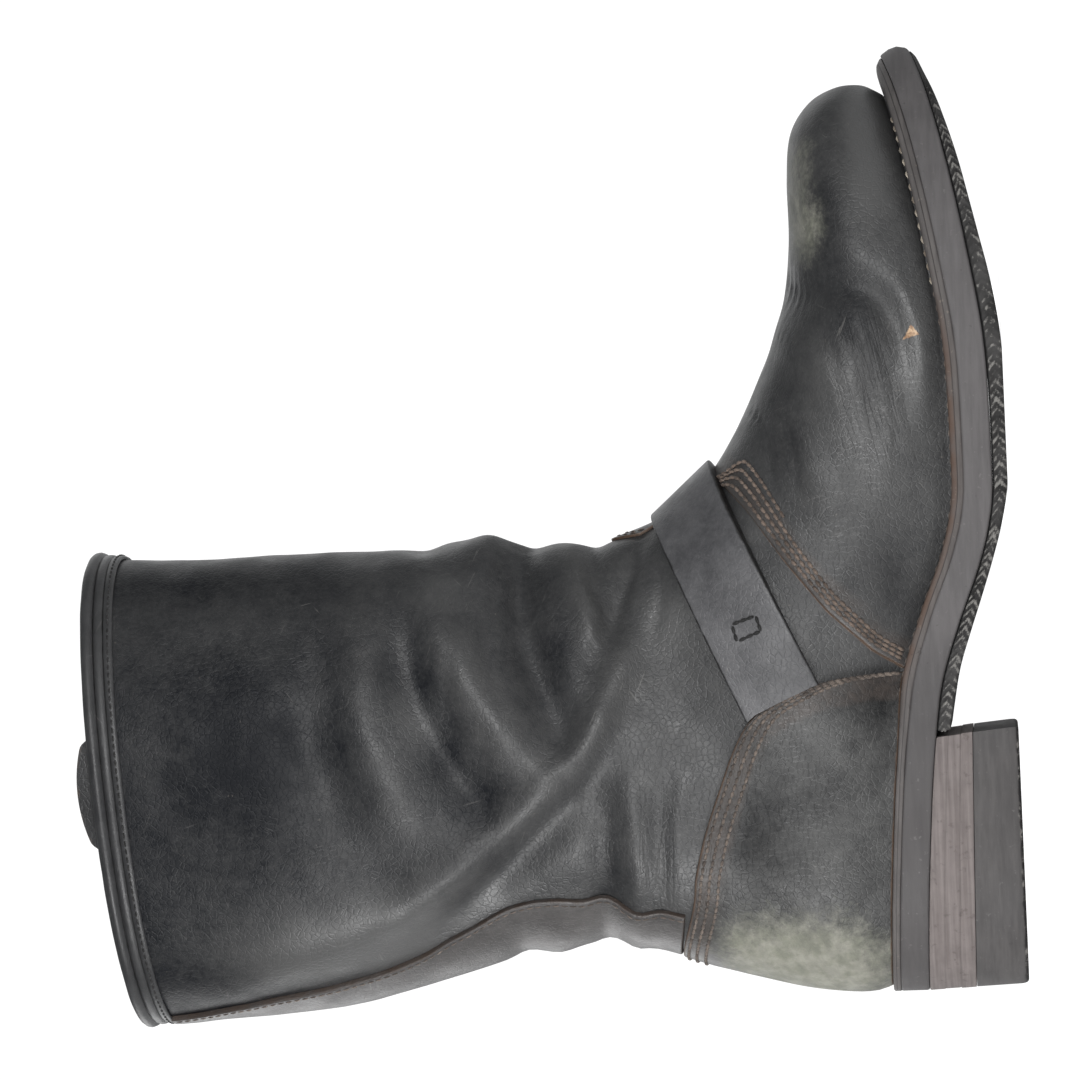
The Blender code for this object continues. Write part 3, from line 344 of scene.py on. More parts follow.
def half_section(u, count):
    """Points from base to crest: x, middle y, half-width, z."""
    s = section(u)
    base_z = float(feather_z(s["base_x"])) + FEATHER_WALL + max(s["rise"], 0.0)
    height = max(s["crest_z"] - base_z, 0.0)
    open_below = u < HEEL_ROW
    foot_half = float(plan_half(s["base_x"])) if open_below else 0.0
    axis = float(plan_axis(s["base_x"])) if open_below else 0.0
    half = max(s["half_width"], foot_half)
    a = np.linspace(0.0, math.pi / 2, 60)
    b = np.linspace(0.0, math.pi / 2, 90)[1:]
    t = 1.0 - np.cos(a)
    low_v = s["widest"] * t
    swell = foot_half + (half - foot_half) * (
        1.0 - (1.0 - t)**s["base_power"])**(1.0 / s["base_power"])
    start = s["base_x"] if open_below else PLAN[0, 0]
    follow = plan_half(np.minimum(
        start + (s["crest_x"] - s["base_x"]) * low_v, 200.0))
    follow = follow + (half - follow[-1]) * (1.0 - (1.0 - t)**2)
    share = float(ease((u - 7.0) / 2.0) * (1.0 - ease(s["rise"] / 16.0)))
    low_w = (1.0 - share) * swell + share * follow
    top_v = s["widest"] + (1.0 - s["widest"]) * np.sin(b)**(
        2.0 / s["crest_power"])
    top_w = half * np.clip(np.cos(b), 0, 1)**(2.0 / s["crest_power"])
    v = np.concatenate([low_v, top_v])
    w = np.concatenate([low_w, top_w])
    w[-1] = 0.0
    x = s["base_x"] + (s["crest_x"] - s["base_x"]) * v
    z = base_z + height * v
    y = axis + (s["crest_y"] - axis) * ease(v)
    run = np.concatenate([[0.0], np.cumsum(np.sqrt(
        np.diff(x)**2 + np.diff(w)**2 + np.diff(z)**2))])
    at = np.linspace(0.0, run[-1], count + 1)
    return [np.interp(at, run, k) for k in (x, y, w, z)]


# -------------------------------------------------------------- mesh helpers
def make(name, points, faces, stuff, stands_for=(), angle=38.0,
         values=None, face_stuff=None):
    """Mesh object that rides on the boot.  values: attribute -> per point."""
    mesh = bpy.data.meshes.new(name)
    where = (np.asarray(points, float) - ORIGIN) * MM
    mesh.from_pydata(where.tolist(), [], [[int(k) for k in f] for f in faces])
    for key, data in (values or {}).items():
        layer = mesh.attributes.new(key, "FLOAT", "POINT")
        layer.data.foreach_set("value", np.asarray(data, np.float32))
    stuff = stuff if isinstance(stuff, (list, tuple)) else [stuff]
    for one in stuff:
        mesh.materials.append(one)
    if face_stuff is not None:
        mesh.polygons.foreach_set("material_index",
                                  np.asarray(face_stuff, np.int32))
    work = bmesh.new()
    work.from_mesh(mesh)
    bmesh.ops.remove_doubles(work, verts=work.verts[:], dist=2e-6)
    bmesh.ops.dissolve_degenerate(work, edges=work.edges[:], dist=1e-6)
    bmesh.ops.recalc_face_normals(work, faces=work.faces[:])
    if work.calc_volume(signed=True) < 0:
        bmesh.ops.reverse_faces(work, faces=work.faces[:])
    work.to_mesh(mesh)
    work.free()
    mesh.polygons.foreach_set("use_smooth", [True] * len(mesh.polygons))
    mesh.set_sharp_from_angle(angle=math.radians(angle))
    thing = bpy.data.objects.new(name, mesh)
    bpy.context.scene.collection.objects.link(thing)
    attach(thing, "root")
    if stands_for:
        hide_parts(*stands_for)
    return thing


def grid_faces(m, k, base=0, turn=False):
    at = base + np.arange(m * k).reshape(m, k)
    quads = np.stack([at[:-1, :-1], at[1:, :-1], at[1:, 1:], at[:-1, 1:]],
                     -1).reshape(-1, 4)
    return (quads[:, ::-1] if turn else quads).tolist()


def border_of(m, k):
    return ([(i, 0) for i in range(m)] + [(m - 1, j) for j in range(1, k)]
            + [(i, k - 1) for i in range(m - 2, -1, -1)]
            + [(0, j) for j in range(k - 2, 0, -1)])


def sheet(low, out, thick, bevel=0.7):
    """Closed piece of leather on a grid: underside, side wall with a rounded
    upper edge, top.  Returns points, faces and a cut-edge value per point."""
    m, k = low.shape[:2]
    thick = np.broadcast_to(thick, (m, k))
    inside = np.zeros((m, k, 3))
    inside[0] += unit(low[1] - low[0])
    inside[-1] += unit(low[-2] - low[-1])
    inside[:, 0] += unit(low[:, 1] - low[:, 0])
    inside[:, -1] += unit(low[:, -2] - low[:, -1])
    top = low + out * thick[..., None] + inside * bevel
    points = [low.reshape(-1, 3), top.reshape(-1, 3)]
    faces = grid_faces(m, k) + grid_faces(m, k, m * k, True)
    ring = border_of(m, k)
    rows = [[i * k + j for i, j in ring]]
    wear = [np.zeros(m * k), np.zeros(m * k)]
    wear[1].reshape(m, k)[[0, -1]] = 0.45
    wear[1].reshape(m, k)[:, [0, -1]] = 0.45
    wear[0].reshape(m, k)[[0, -1]] = 1.0
    wear[0].reshape(m, k)[:, [0, -1]] = 1.0
    base = 2 * m * k
    for drop, move in ((1.0, 0.0), (0.42, 0.13), (0.1, 0.5)):
        here = np.array([low[i, j] + out[i, j] * (thick[i, j] - bevel * drop)
                         + inside[i, j] * bevel * move for i, j in ring])
        points.append(here)
        wear.append(np.full(len(ring), 1.0 - 0.35 * move))
        rows.append(list(range(base, base + len(ring))))
        base += len(ring)
    rows.append([m * k + i * k + j for i, j in ring])
    n = len(ring)
    for one, two in zip(rows[:-1], rows[1:]):
        faces += [[one[q], one[(q + 1) % n], two[(q + 1) % n], two[q]]
                  for q in range(n)]
    return np.concatenate(points), faces, np.concatenate(wear)


def ring_faces(m, k, base=0):
    at = base + np.arange(m * k).reshape(m, k)
    ahead, up = np.roll(at, -1, 0), np.roll(at, -1, 1)
    return np.stack([at, ahead, np.roll(ahead, -1, 1), up],
                    -1).reshape(-1, 4).tolist()


def offset_loop(loop, distance):
    """Flat outward offset of a closed outline (x, y)."""
    one = unit(np.roll(loop, -1, 0) - loop)
    two = unit(loop - np.roll(loop, 1, 0))
    mean = unit(one + two)
    normal = np.stack([mean[:, 1], -mean[:, 0]], 1)
    turn = np.sum(mean * one, axis=1)
    ahead = np.roll(loop, -1, 0)
    area = np.sum(loop[:, 0] * ahead[:, 1] - ahead[:, 0] * loop[:, 1])
    sign = 1.0 if area > 0 else -1.0
    return loop + sign * normal * (distance / np.maximum(turn, 0.5))[:, None]


def wobble(points, scale, octaves=1):
    """Even-tempered noise, -1 to 1, at points in millimetres."""
    total, share, size = np.zeros(len(points)), 1.0, scale
    for _ in range(octaves):
        total += share * np.array([noise.noise(Vector(p)) for p in
                                   np.asarray(points) * size])
        share, size = share * 0.5, size * 2.1
    return total


# ---------------------------------------------------------------- materials
class Stuff:
    """Procedural material on the boot's own coordinates, in metres."""

    def __init__(self, name):
        self.mat = bpy.data.materials.new(name)
        self.mat.use_nodes = True
        self.tree = self.mat.node_tree
        self.shader = self.tree.nodes["Principled BSDF"]
        self.coord = self.node("ShaderNodeTexCoord").outputs["Object"]

    def node(self, kind, **props):
        made = self.tree.nodes.new(kind)
        for key, value in props.items():
            setattr(made, key, value)
        return made

    def put(self, socket, value):
        if isinstance(value, bpy.types.NodeSocket):
            self.tree.links.new(value, socket)
        else:
            socket.default_value = value

    def set(self, **values):
        for key, value in values.items():
            self.put(self.shader.inputs[key.replace("_", " ")], value)

    def stretched(self, scale, turn=(0.0, 0.0, 0.0)):
        m = self.node("ShaderNodeMapping", vector_type="TEXTURE")
        self.put(m.inputs["Vector"], self.coord)
        m.inputs["Scale"].default_value = tuple(1.0 / v for v in scale)
        m.inputs["Rotation"].default_value = turn
        return m.outputs["Vector"]

    def noise(self, scale, detail=3.0, rough=0.55, where=None, twist=0.0):
        n = self.node("ShaderNodeTexNoise")
        self.put(n.inputs["Vector"], self.coord if where is None else where)
        n.inputs["Scale"].default_value = scale
        n.inputs["Detail"].default_value = detail
        n.inputs["Roughness"].default_value = rough
        n.inputs["Distortion"].default_value = twist
        return n.outputs["Fac"]

    def cells(self, scale, feature="F1", where=None, random=1.0):
        n = self.node("ShaderNodeTexVoronoi", feature=feature)
        self.put(n.inputs["Vector"], self.coord if where is None else where)
        n.inputs["Scale"].default_value = scale
        n.inputs["Randomness"].default_value = random
        return n.outputs["Distance"]

    def attribute(self, name):
        return self.node("ShaderNodeAttribute",
                         attribute_name=name).outputs["Fac"]

    def ramp(self, value, low, high, to_low=0.0, to_high=1.0):
        n = self.node("ShaderNodeMapRange", interpolation_type="SMOOTHSTEP")
        self.put(n.inputs["Value"], value)
        for key, number in (("From Min", low), ("From Max", high),
                            ("To Min", to_low), ("To Max", to_high)):
            n.inputs[key].default_value = number
        return n.outputs["Result"]

    def math(self, operation, one, two=0.0):
        n = self.node("ShaderNodeMath", operation=operation)
        self.put(n.inputs[0], one)
        self.put(n.inputs[1], two)
        return n.outputs[0]

    def mix(self, share, one, two):
        n = self.node("ShaderNodeMix", data_type="RGBA")
        self.put(n.inputs[0], share)
        self.put(n.inputs[6], one if not isinstance(one, tuple)
                 else (*one, 1.0))
        self.put(n.inputs[7], two if not isinstance(two, tuple)
                 else (*two, 1.0))
        return n.outputs[2]

    def axis(self, name):
        n = self.node("ShaderNodeSeparateXYZ")
        self.put(n.inputs[0], self.coord)
        return n.outputs[name]

    def near(self, spot, low, high):
        """1 at a spot of the boot (mm), 0 beyond: low and high are reach."""
        n = self.node("ShaderNodeVectorMath", operation="DISTANCE")
        self.put(n.inputs[0], self.coord)
        n.inputs[1].default_value = tuple((np.array(spot) - ORIGIN) * MM)
        return self.ramp(n.outputs["Value"], low * MM, high * MM, 1.0, 0.0)

    def bump(self, height, strength, reach, under=None):
        n = self.node("ShaderNodeBump")
        self.put(n.inputs["Height"], height)
        n.inputs["Strength"].default_value = strength
        n.inputs["Distance"].default_value = reach * MM
        if under is not None:
            self.put(n.inputs["Normal"], under)
        return n.outputs["Normal"]


def leather(name, dark, light, rough=(0.36, 0.52), grain=0.7, dusty=False,
            fade=True, edge=(0.115, 0.076, 0.054), spots=(), coat=0.05,
            chip=None, wrinkled=False, sewn=0.0, scuffed=0.0, sheen=False):
    """Oiled black leather: mottled tone, rubbed high places, painted light
    and shade in broad patches, scratches, fine grain and creases.  cut
    (with the painted shade in the binding's grooves), rub_and_painted_light,
    dust, seam and the wrinkle zones come from the mesh."""
    s = Stuff(name)
    broad = s.ramp(s.noise(16.0, 4.0, 0.6), 0.3, 0.7)
    mid = s.ramp(s.noise(75.0, 5.0, 0.65), 0.32, 0.72)
    fine = s.noise(900.0, 4.0, 0.7)
    tone = s.math("ADD", s.math("MULTIPLY", broad, 0.5),
                  s.math("MULTIPLY", mid, 0.5))
    if fade:                         # darker up the shaft, lighter on the foot
        lift = s.ramp(s.axis("Z"), 0.235, 0.105)
        tone = s.math("ADD", s.math("MULTIPLY", tone, 0.38),
                      s.math("MULTIPLY", lift, 0.45))
    # lighter on rubbed ridges, and painted light and shade from the mesh's patches
    tone = s.math("ADD", tone, s.math("MULTIPLY", s.attribute("rub_and_painted_light"), 0.5))
    tone = s.math("ADD", tone, s.math("MULTIPLY", s.math(
        "SUBTRACT", fine, 0.5), 0.6))
    tone = s.math("ADD", tone, s.math("MULTIPLY", s.math(
        "SUBTRACT", s.noise(290.0, 6.0, 0.75), 0.5), 0.7 + 0.5 * scuffed))
    colour = s.mix(tone, dark, light)
    # scratches: thin streaks in three directions
    marks = None
    for scale, turn, low in (((62, 90, 800), (0.0, 0.40, 0.0), 0.700),
                             ((80, 90, 900), (0.2, -0.70, 0.3), 0.705),
                             ((74, 80, 850), (0.1, 1.30, 0.2), 0.712)):
        one = s.ramp(s.noise(1.0, 2.0, 0.5, s.stretched(scale, turn)),
                     low - 0.035 * scuffed, low + 0.06)
        marks = one if marks is None else s.math("MAXIMUM", marks, one)
    patch = s.ramp(s.noise(30.0, 2.0), 0.46, 0.64)
    marks = s.math("MULTIPLY", marks, patch)
    colour = s.mix(s.math("MULTIPLY", marks, 0.5 + 0.15 * scuffed), colour,
                   (0.130, 0.126, 0.120))
    speck = s.ramp(s.noise(420.0, 2.0, 0.5), 0.74, 0.80)
    colour = s.mix(s.math("MULTIPLY", speck, 0.35), colour,
                   (0.15, 0.135, 0.12))
    if sewn:
        band = s.math("MULTIPLY", s.attribute("seam"), s.ramp(
            s.noise(230.0, 4.0, 0.7), 0.30, 0.62, 0.25, 1.0))
        colour = s.mix(s.math("MULTIPLY", band, sewn), colour,
                       (0.060, 0.048, 0.042))
    cloud = None
    if dusty:
        cloud = s.math("ADD", s.math("MULTIPLY", s.math(
            "SUBTRACT", s.noise(70.0, 6.0, 0.72), 0.5), 0.95), s.math(
            "MULTIPLY", s.math("SUBTRACT", s.noise(480.0, 4.0, 0.75), 0.5),
            0.75))
        cloud = s.ramp(s.math("ADD", s.attribute("dust"), cloud), 0.30, 1.15)
        streak = s.ramp(s.noise(1.0, 3.0, 0.6, s.stretched(
            (150, 170, 420), (0.0, -0.5, 0.2))), 0.36, 0.62, 0.80, 1.0)
        cloud = s.math("MULTIPLY", cloud, streak)
        ash = s.mix(s.ramp(s.noise(170.0, 4.0), 0.35, 0.65),
                    (0.235, 0.238, 0.190), (0.335, 0.330, 0.278))
        colour = s.mix(s.math("MULTIPLY", cloud, 0.88), colour, ash)
    for spot, size, paint in spots:
        ragged = s.math("MULTIPLY", s.near(spot, size * 0.72, size),
                        s.ramp(s.noise(520.0, 3.0), 0.30, 0.42))
        colour = s.mix(ragged, colour, paint)
    if chip is not None:             # three-cornered nick on the inner side
        inside = s.ramp(s.axis("Y"), -0.020, -0.030)
        jag = s.math("MULTIPLY", s.math("SUBTRACT", s.noise(
            900.0, 3.0), 0.5), 0.0011)
        for n in range(3):
            one, two = np.array(chip[n]), np.array(chip[(n + 1) % 3])
            away = unit(np.array([two[1] - one[1], one[0] - two[0]]))
            away = away if away @ (np.array(chip[(n + 2) % 3]) - one) > 0 \
                else -away
            far = s.math("ADD", s.math("MULTIPLY", s.axis("X"), away[0]),
                         s.math("MULTIPLY", s.axis("Z"), away[1]))
            far = s.math("SUBTRACT", s.math("ADD", far, jag), float(
                (one - ORIGIN[[0, 2]]) @ away * MM))
            inside = s.math("MINIMUM", inside, s.ramp(far, -0.0001, 0.0003))
        paint = s.mix(s.ramp(s.noise(420.0, 3.0), 0.42, 0.60),
                      (0.250, 0.130, 0.062), (0.560, 0.370, 0.215))
        colour = s.mix(inside, colour, paint)
    cut = s.ramp(s.math("ADD", s.attribute("cut"), s.math(
        "MULTIPLY", s.math("SUBTRACT", s.noise(260.0, 3.0), 0.5), 0.9)),
        0.35, 1.0)
    colour = s.mix(cut, colour, edge)
    gloss = s.ramp(s.math("ADD", s.math("MULTIPLY", s.noise(110.0, 4.0), 0.6),
                          s.math("MULTIPLY", fine, 0.4)), 0.3, 0.7, *rough)
    if cloud is not None:
        gloss = s.math("ADD", gloss, s.math("MULTIPLY", cloud, 0.25))
    pores = s.cells(1250.0)
    web = s.cells(540.0, "DISTANCE_TO_EDGE")
    creased = s.cells(1.0, "DISTANCE_TO_EDGE",
                      s.stretched((170, 300, 420), (0.25, 0.5, 0.1)))
    creased = s.ramp(creased, 0.0, 0.09)
    worn = s.ramp(s.noise(30.0, 3.0), 0.42, 0.66)
    normal = s.bump(s.math("MULTIPLY", creased, worn), 0.16 * grain, 0.40)
    if wrinkled:                     # fine folds in the zones that bend most
        for zone, scale, turn in (("fold_a", (24, 60, 210), (0, 0.05, 0)),
                                  ("fold_b", (24, 60, 200), (0, 0.54, 0)),
                                  ("fold_c", (24, 60, 330), (0, -0.24, 0))):
            line = s.math("ABSOLUTE", s.math("SUBTRACT", s.noise(
                1.0, 2.5, 0.5, s.stretched(scale, turn)), 0.5))
            line = s.ramp(line, 0.0, 0.06)
            line = s.math("MULTIPLY", s.math("SUBTRACT", line, 1.0),
                          s.attribute(zone))
            normal = s.bump(line, 0.30, 0.50, normal)
    normal = s.bump(s.ramp(web, 0.0, 0.14), 0.44 * grain, 0.17, normal)
    normal = s.bump(pores, 0.26 * grain, 0.11, normal)
    normal = s.bump(s.noise(240.0, 5.0, 0.6), 0.38 * grain, 0.28, normal)
    s.set(Base_Color=colour, Roughness=gloss, Normal=normal)
    shine = s.ramp(s.axis("Z"), 0.150, 0.262, 0.52, 0.22) if fade else 0.5
    if sheen:                        # dull pools and polished places
        shine = s.math("MULTIPLY", s.ramp(
            s.attribute("sheen"), -1.0, 2.0, 0.30, 2.40), shine)
    s.set(Specular_IOR_Level=shine, Coat_Weight=coat, Coat_Roughness=0.35)
    return s.mat


DARK, LIGHT = (0.0045, 0.0053, 0.0075), (0.062, 0.0614, 0.0610)
UPPER = leather("upper_black_leather", DARK, LIGHT, dusty=True, spots=[
    ((155.0, -6.0, 166.0), 1.6, (0.33, 0.27, 0.20)),
    ((203.0, -45.0, 54.0), 0.9, (0.30, 0.26, 0.22))], chip=(
    (214.6, 28.0), (211.2, 25.4), (209.8, 30.8)), wrinkled=True, sewn=0.55, scuffed=0.1,
                sheen=True)
COUNTER = leather("counter_black_leather", (0.0060, 0.0062, 0.0068),
                  (0.070, 0.0695, 0.068), dusty=True, fade=False,
                  sewn=0.7, scuffed=1.0, sheen=True)
BACKSTAY_SKIN = leather("backstay_black_leather", (0.026, 0.0242, 0.0238),
                        (0.078, 0.0725, 0.0708), fade=False,
                        edge=(0.046, 0.032, 0.025), scuffed=0.6)
STRAP_SKIN = leather("strap_black_leather", (0.056, 0.0555, 0.059),
                     (0.138, 0.1362, 0.141), fade=False, grain=0.65,
                     edge=(0.012, 0.011, 0.011), scuffed=0.5)
# its edge colour is only the painted shade in the binding's grooves
BINDING_SKIN = leather("binding_black_leather", (0.014, 0.014, 0.0155),
                       (0.044, 0.044, 0.045), fade=False, grain=0.4,
                       edge=(0.006, 0.006, 0.006))
TAB_SKIN = leather("pull_tab_black_leather", (0.012, 0.012, 0.013),
                   (0.036, 0.036, 0.037), fade=False, grain=0.5)


def lining():
    s = Stuff("lining_brown_leather")
    tone = s.ramp(s.noise(60.0, 5.0, 0.65), 0.3, 0.7)
    fuzz = s.noise(1500.0, 3.0, 0.7)
    colour = s.mix(tone, (0.075, 0.050, 0.034), (0.135, 0.094, 0.062))
    colour = s.mix(s.ramp(s.noise(9.0, 3.0), 0.45, 0.75), colour,
                   (0.045, 0.034, 0.027))
    s.set(Base_Color=colour, Roughness=s.ramp(fuzz, 0.3, 0.7, 0.78, 0.95),
          Normal=s.bump(fuzz, 0.35, 0.2))
    s.set(Sheen_Weight=0.15, Sheen_Roughness=0.5)
    return s.mat


def insole_leather():
    s = Stuff("insole_tan_leather")
    tone = s.ramp(s.noise(45.0, 5.0, 0.6), 0.3, 0.7)
    colour = s.mix(tone, (0.16, 0.095, 0.052), (0.30, 0.19, 0.11))
    colour = s.mix(s.ramp(s.noise(14.0, 2.0), 0.42, 0.68), colour,
                   (0.075, 0.048, 0.032))
    s.set(Base_Color=colour, Roughness=s.ramp(s.noise(300.0), 0.3, 0.7,
                                              0.6, 0.85),
          Normal=s.bump(s.noise(700.0, 4.0), 0.3, 0.2))
    return s.mat


def thread(name, one, two):
    s = Stuff(name)
    twist = s.node("ShaderNodeTexWave", wave_type="BANDS",
                   bands_direction="DIAGONAL")
    s.put(twist.inputs["Vector"], s.coord)
    twist.inputs["Scale"].default_value = 900.0
    twist.inputs["Distortion"].default_value = 2.0
    colour = s.mix(s.ramp(s.noise(190.0, 3.0), 0.35, 0.65), one, two)
    s.set(Base_Color=colour, Roughness=s.ramp(s.noise(600.0), 0.3, 0.7,
                                              0.62, 0.85),
          Normal=s.bump(twist.outputs["Fac"], 0.5, 0.12))
    s.set(Sheen_Weight=0.1)
    return s.mat


BROWN_THREAD = thread("brown_thread", (0.076, 0.055, 0.043),
                      (0.178, 0.133, 0.106))
GREY_THREAD = thread("grey_brown_thread", (0.066, 0.052, 0.044),
                     (0.165, 0.132, 0.110))
DARK_THREAD = thread("dark_thread", (0.005, 0.005, 0.005),
                     (0.016, 0.015, 0.015))
PALE_THREAD = thread("pale_thread", (0.13, 0.10, 0.075), (0.42, 0.37, 0.30))


def sole_edge(name, one, two, fleck, dirt, red=None, dim=0.0):
    """Trimmed edge of sole leather or rubber: smeared along its length,
    lightly flecked, dark and crumbled where the mesh says rough, with
    painted shade in its grooves."""
    s = Stuff(name)
    streak = s.noise(1.0, 5.0, 0.6, s.stretched((60, 60, 520)))
    blot = s.noise(48.0, 5.0, 0.65)
    tone = s.math("ADD", s.math("MULTIPLY", streak, 0.5),
                  s.math("MULTIPLY", blot, 0.5))
    colour = s.mix(s.ramp(tone, 0.34, 0.66), one, two)
    if dim:                          # dirtier above the heel
        colour = s.mix(s.ramp(s.axis("X"), -0.030, -0.055, 0.0, dim), colour,
                       dirt)
    if red is not None:
        colour = s.mix(s.math("MULTIPLY", s.attribute("brown"), s.ramp(
            s.noise(90.0, 4.0), 0.30, 0.62, 0.35, 1.0)), colour, red)
    spot = s.ramp(s.noise(520.0, 3.0, 0.6), 0.64, 0.72)
    colour = s.mix(s.math("MULTIPLY", spot, 0.35), colour, fleck)
    pit = s.ramp(s.noise(260.0, 4.0, 0.65), 0.28, 0.34, 1.0, 0.0)
    colour = s.mix(s.math("MULTIPLY", pit, 0.5), colour, dirt)
    rough = s.attribute("rough")
    crumb = s.ramp(s.noise(330.0, 4.0, 0.7), 0.50, 0.62)
    torn = s.mix(crumb, (0.012, 0.011, 0.011), (0.20, 0.19, 0.18))
    colour = s.mix(s.ramp(s.math("ADD", rough, s.math(
        "MULTIPLY", s.math("SUBTRACT", s.noise(210.0, 3.0), 0.5), 0.7)),
        0.30, 0.62), colour, torn)
    # painted shade in the grooves between layers and parts
    colour = s.mix(s.attribute("groove_shade"), colour, (0.014, 0.012, 0.012))
    height = s.math("ADD", s.math("MULTIPLY", s.noise(420.0, 5.0, 0.7), 0.5),
                    s.math("MULTIPLY", streak, 0.5))
    s.set(Base_Color=colour, Roughness=s.ramp(blot, 0.3, 0.7, 0.55, 0.78),
          Normal=s.bump(height, 0.35, 0.30))
    s.set(Specular_IOR_Level=0.4)
    return s.mat


def tread_rubber():
    """Black rubber of the half sole, dusty on the crests of its cords."""
    s = Stuff("outsole_black_rubber")
    crumb = s.noise(300.0, 5.0, 0.7)
    crest = s.ramp(s.math("ADD", s.attribute("cord"), s.math(
        "MULTIPLY", s.math("SUBTRACT", crumb, 0.5), 3.6)), 0.45, 1.15)
    colour = s.mix(s.ramp(s.noise(70.0, 4.0), 0.3, 0.7),
                   (0.016, 0.0155, 0.0155), (0.060, 0.058, 0.057))
    colour = s.mix(s.math("MULTIPLY", crest, 0.85), colour,
                   (0.270, 0.260, 0.245))
    # painted shade in the recess under the midsole
    colour = s.mix(s.attribute("groove_shade"), colour, (0.010, 0.010, 0.010))
    s.set(Base_Color=colour, Roughness=s.ramp(crumb, 0.3, 0.7, 0.7, 0.9),
          Normal=s.bump(crumb, 0.5, 0.35))
    s.set(Specular_IOR_Level=0.35)
    return s.mat


OUTSOLE = tread_rubber()
MIDSOLE = sole_edge("midsole_grey_leather", (0.094, 0.088, 0.089),
                    (0.134, 0.126, 0.127), (0.20, 0.19, 0.186),
                    (0.050, 0.046, 0.046), dim=0.5)
LIFT = sole_edge("heel_grey_rubber", (0.060, 0.056, 0.056),
                 (0.100, 0.094, 0.093), (0.17, 0.163, 0.160),
                 (0.045, 0.042, 0.042))
WELT = sole_edge("welt_brown_leather", (0.072, 0.065, 0.063),
                 (0.128, 0.117, 0.113), (0.26, 0.22, 0.18),
                 (0.030, 0.025, 0.023), red=(0.098, 0.064, 0.049))


def stack_leather():
    s = Stuff("heel_stack_leather")
    layer = s.noise(1.0, 5.0, 0.6, s.stretched((24, 24, 900)))
    streak = s.noise(1.0, 4.0, 0.6, s.stretched((160, 160, 260)))
    tone = s.math("ADD", s.math("MULTIPLY", layer, 0.62),
                  s.math("MULTIPLY", streak, 0.38))
    colour = s.mix(s.ramp(tone, 0.33, 0.68), (0.146, 0.125, 0.120),
                   (0.232, 0.203, 0.196))
    colour = s.mix(s.math("MULTIPLY", s.ramp(s.noise(420.0, 4.0), 0.58, 0.70),
                          0.45), colour, (0.085, 0.071, 0.066))
    # painted shade in the recessed joints between the layers
    colour = s.mix(s.attribute("groove_shade"), colour, (0.040, 0.033, 0.031))
    s.set(Base_Color=colour, Roughness=s.ramp(streak, 0.3, 0.7, 0.7, 0.9),
          Normal=s.bump(tone, 0.5, 0.4))
    s.set(Specular_IOR_Level=0.35)
    return s.mat


STACK = stack_leather()
LINING, INSOLE = lining(), insole_leather()


def steel():
    s = Stuff("buckle_nickel_steel")
    fog = s.noise(120.0, 4.0, 0.6)
    brushed = s.noise(1.0, 3.0, 0.6, s.stretched((900, 900, 120)))
    colour = s.mix(s.ramp(fog, 0.35, 0.7), (0.46, 0.44, 0.41),
                   (0.63, 0.61, 0.58))
    colour = s.mix(s.ramp(s.noise(300.0, 4.0), 0.64, 0.74), colour,
                   (0.17, 0.13, 0.09))
    s.set(Base_Color=colour, Roughness=s.ramp(
        s.math("ADD", fog, brushed), 0.7, 1.3, 0.22, 0.48),
        Normal=s.bump(brushed, 0.12, 0.08))
    s.set(Metallic=1.0)
    return s.mat


STEEL = steel()

# --------------------------------------------------------- the upper's skin
HALF = 82
WIDTH = 2 * HALF + 3
U = np.arange(0.0, 25.0 + 1e-9, 0.05)
TABLE = np.array([half_section(u, HALF) for u in U])


def edge_rows():
    """Section number where each lengthwise line meets the vamp's edge."""
    found = np.zeros(HALF + 1)
    pick = (U > 9.4) & (U < 13.0)
    for j in range(HALF + 1):
        x, z = TABLE[pick, 0, j], TABLE[pick, 3, j]
        over = z - np.interp(x, VAMP_EDGE[:, 0], VAMP_EDGE[:, 1])
        found[j] = np.interp(0.0, over, U[pick])
    for _ in range(3):
        found[1:-1] = (found[:-2] + 2.0 * found[1:-1] + found[2:]) / 4.0
    return found


EDGE_U = edge_rows()
STEP_ROWS = ((-0.30, 1.0), (-0.22, 1.0), (-0.15, 1.0), (-0.095, 1.0),
             (-0.06, 0.99), (-0.035, 0.95), (-0.017, 0.82), (-0.006, 0.55),
             (0.0, 0.22), (0.006, 0.0), (0.03, 0.0), (0.07, 0.0),
             (0.13, 0.0), (0.20, 0.0), (0.28, 0.0))
ROWS = np.concatenate([
    np.linspace(0.0, 4.0, 27)[:-1], np.linspace(4.0, 10.9, 80)[:-1],
    VAMP_ROW + np.array([d for d, _ in STEP_ROWS]),
    np.linspace(11.57, 16.0, 42)[:-1], np.linspace(16.0, 25.0, 108)])
EDGE_AT = int(np.argmin(np.abs(ROWS - VAMP_ROW)))
HEEL_AT = int(np.argmin(np.abs(ROWS - HEEL_ROW)))
ROWS[HEEL_AT] = HEEL_ROW


def skin_grid():
    grid = np.zeros((len(ROWS), WIDTH, 3))
    near = np.cos(0.5 * math.pi * np.clip(np.where(
        ROWS < VAMP_ROW, (VAMP_ROW - ROWS) / 3.0,
        (ROWS - VAMP_ROW) / 2.8), 0.0, 1.0))**2
    for j in range(HALF + 1):
        u = ROWS + near * (EDGE_U[j] - VAMP_ROW)
        x, y, w, z = (np.interp(u, U, TABLE[:, c, j]) for c in range(4))
        grid[:, j + 1] = np.stack([x, y - w, z], 1)
        grid[:, WIDTH - 2 - j] = np.stack([x, y + w, z], 1)
    drop = np.where(ROWS <= HEEL_ROW, FEATHER_WALL, 0.0)
    grid[:, 0], grid[:, -1] = grid[:, 1], grid[:, -2]
    grid[:, 0, 2] -= drop
    grid[:, -1, 2] -= drop
    return grid


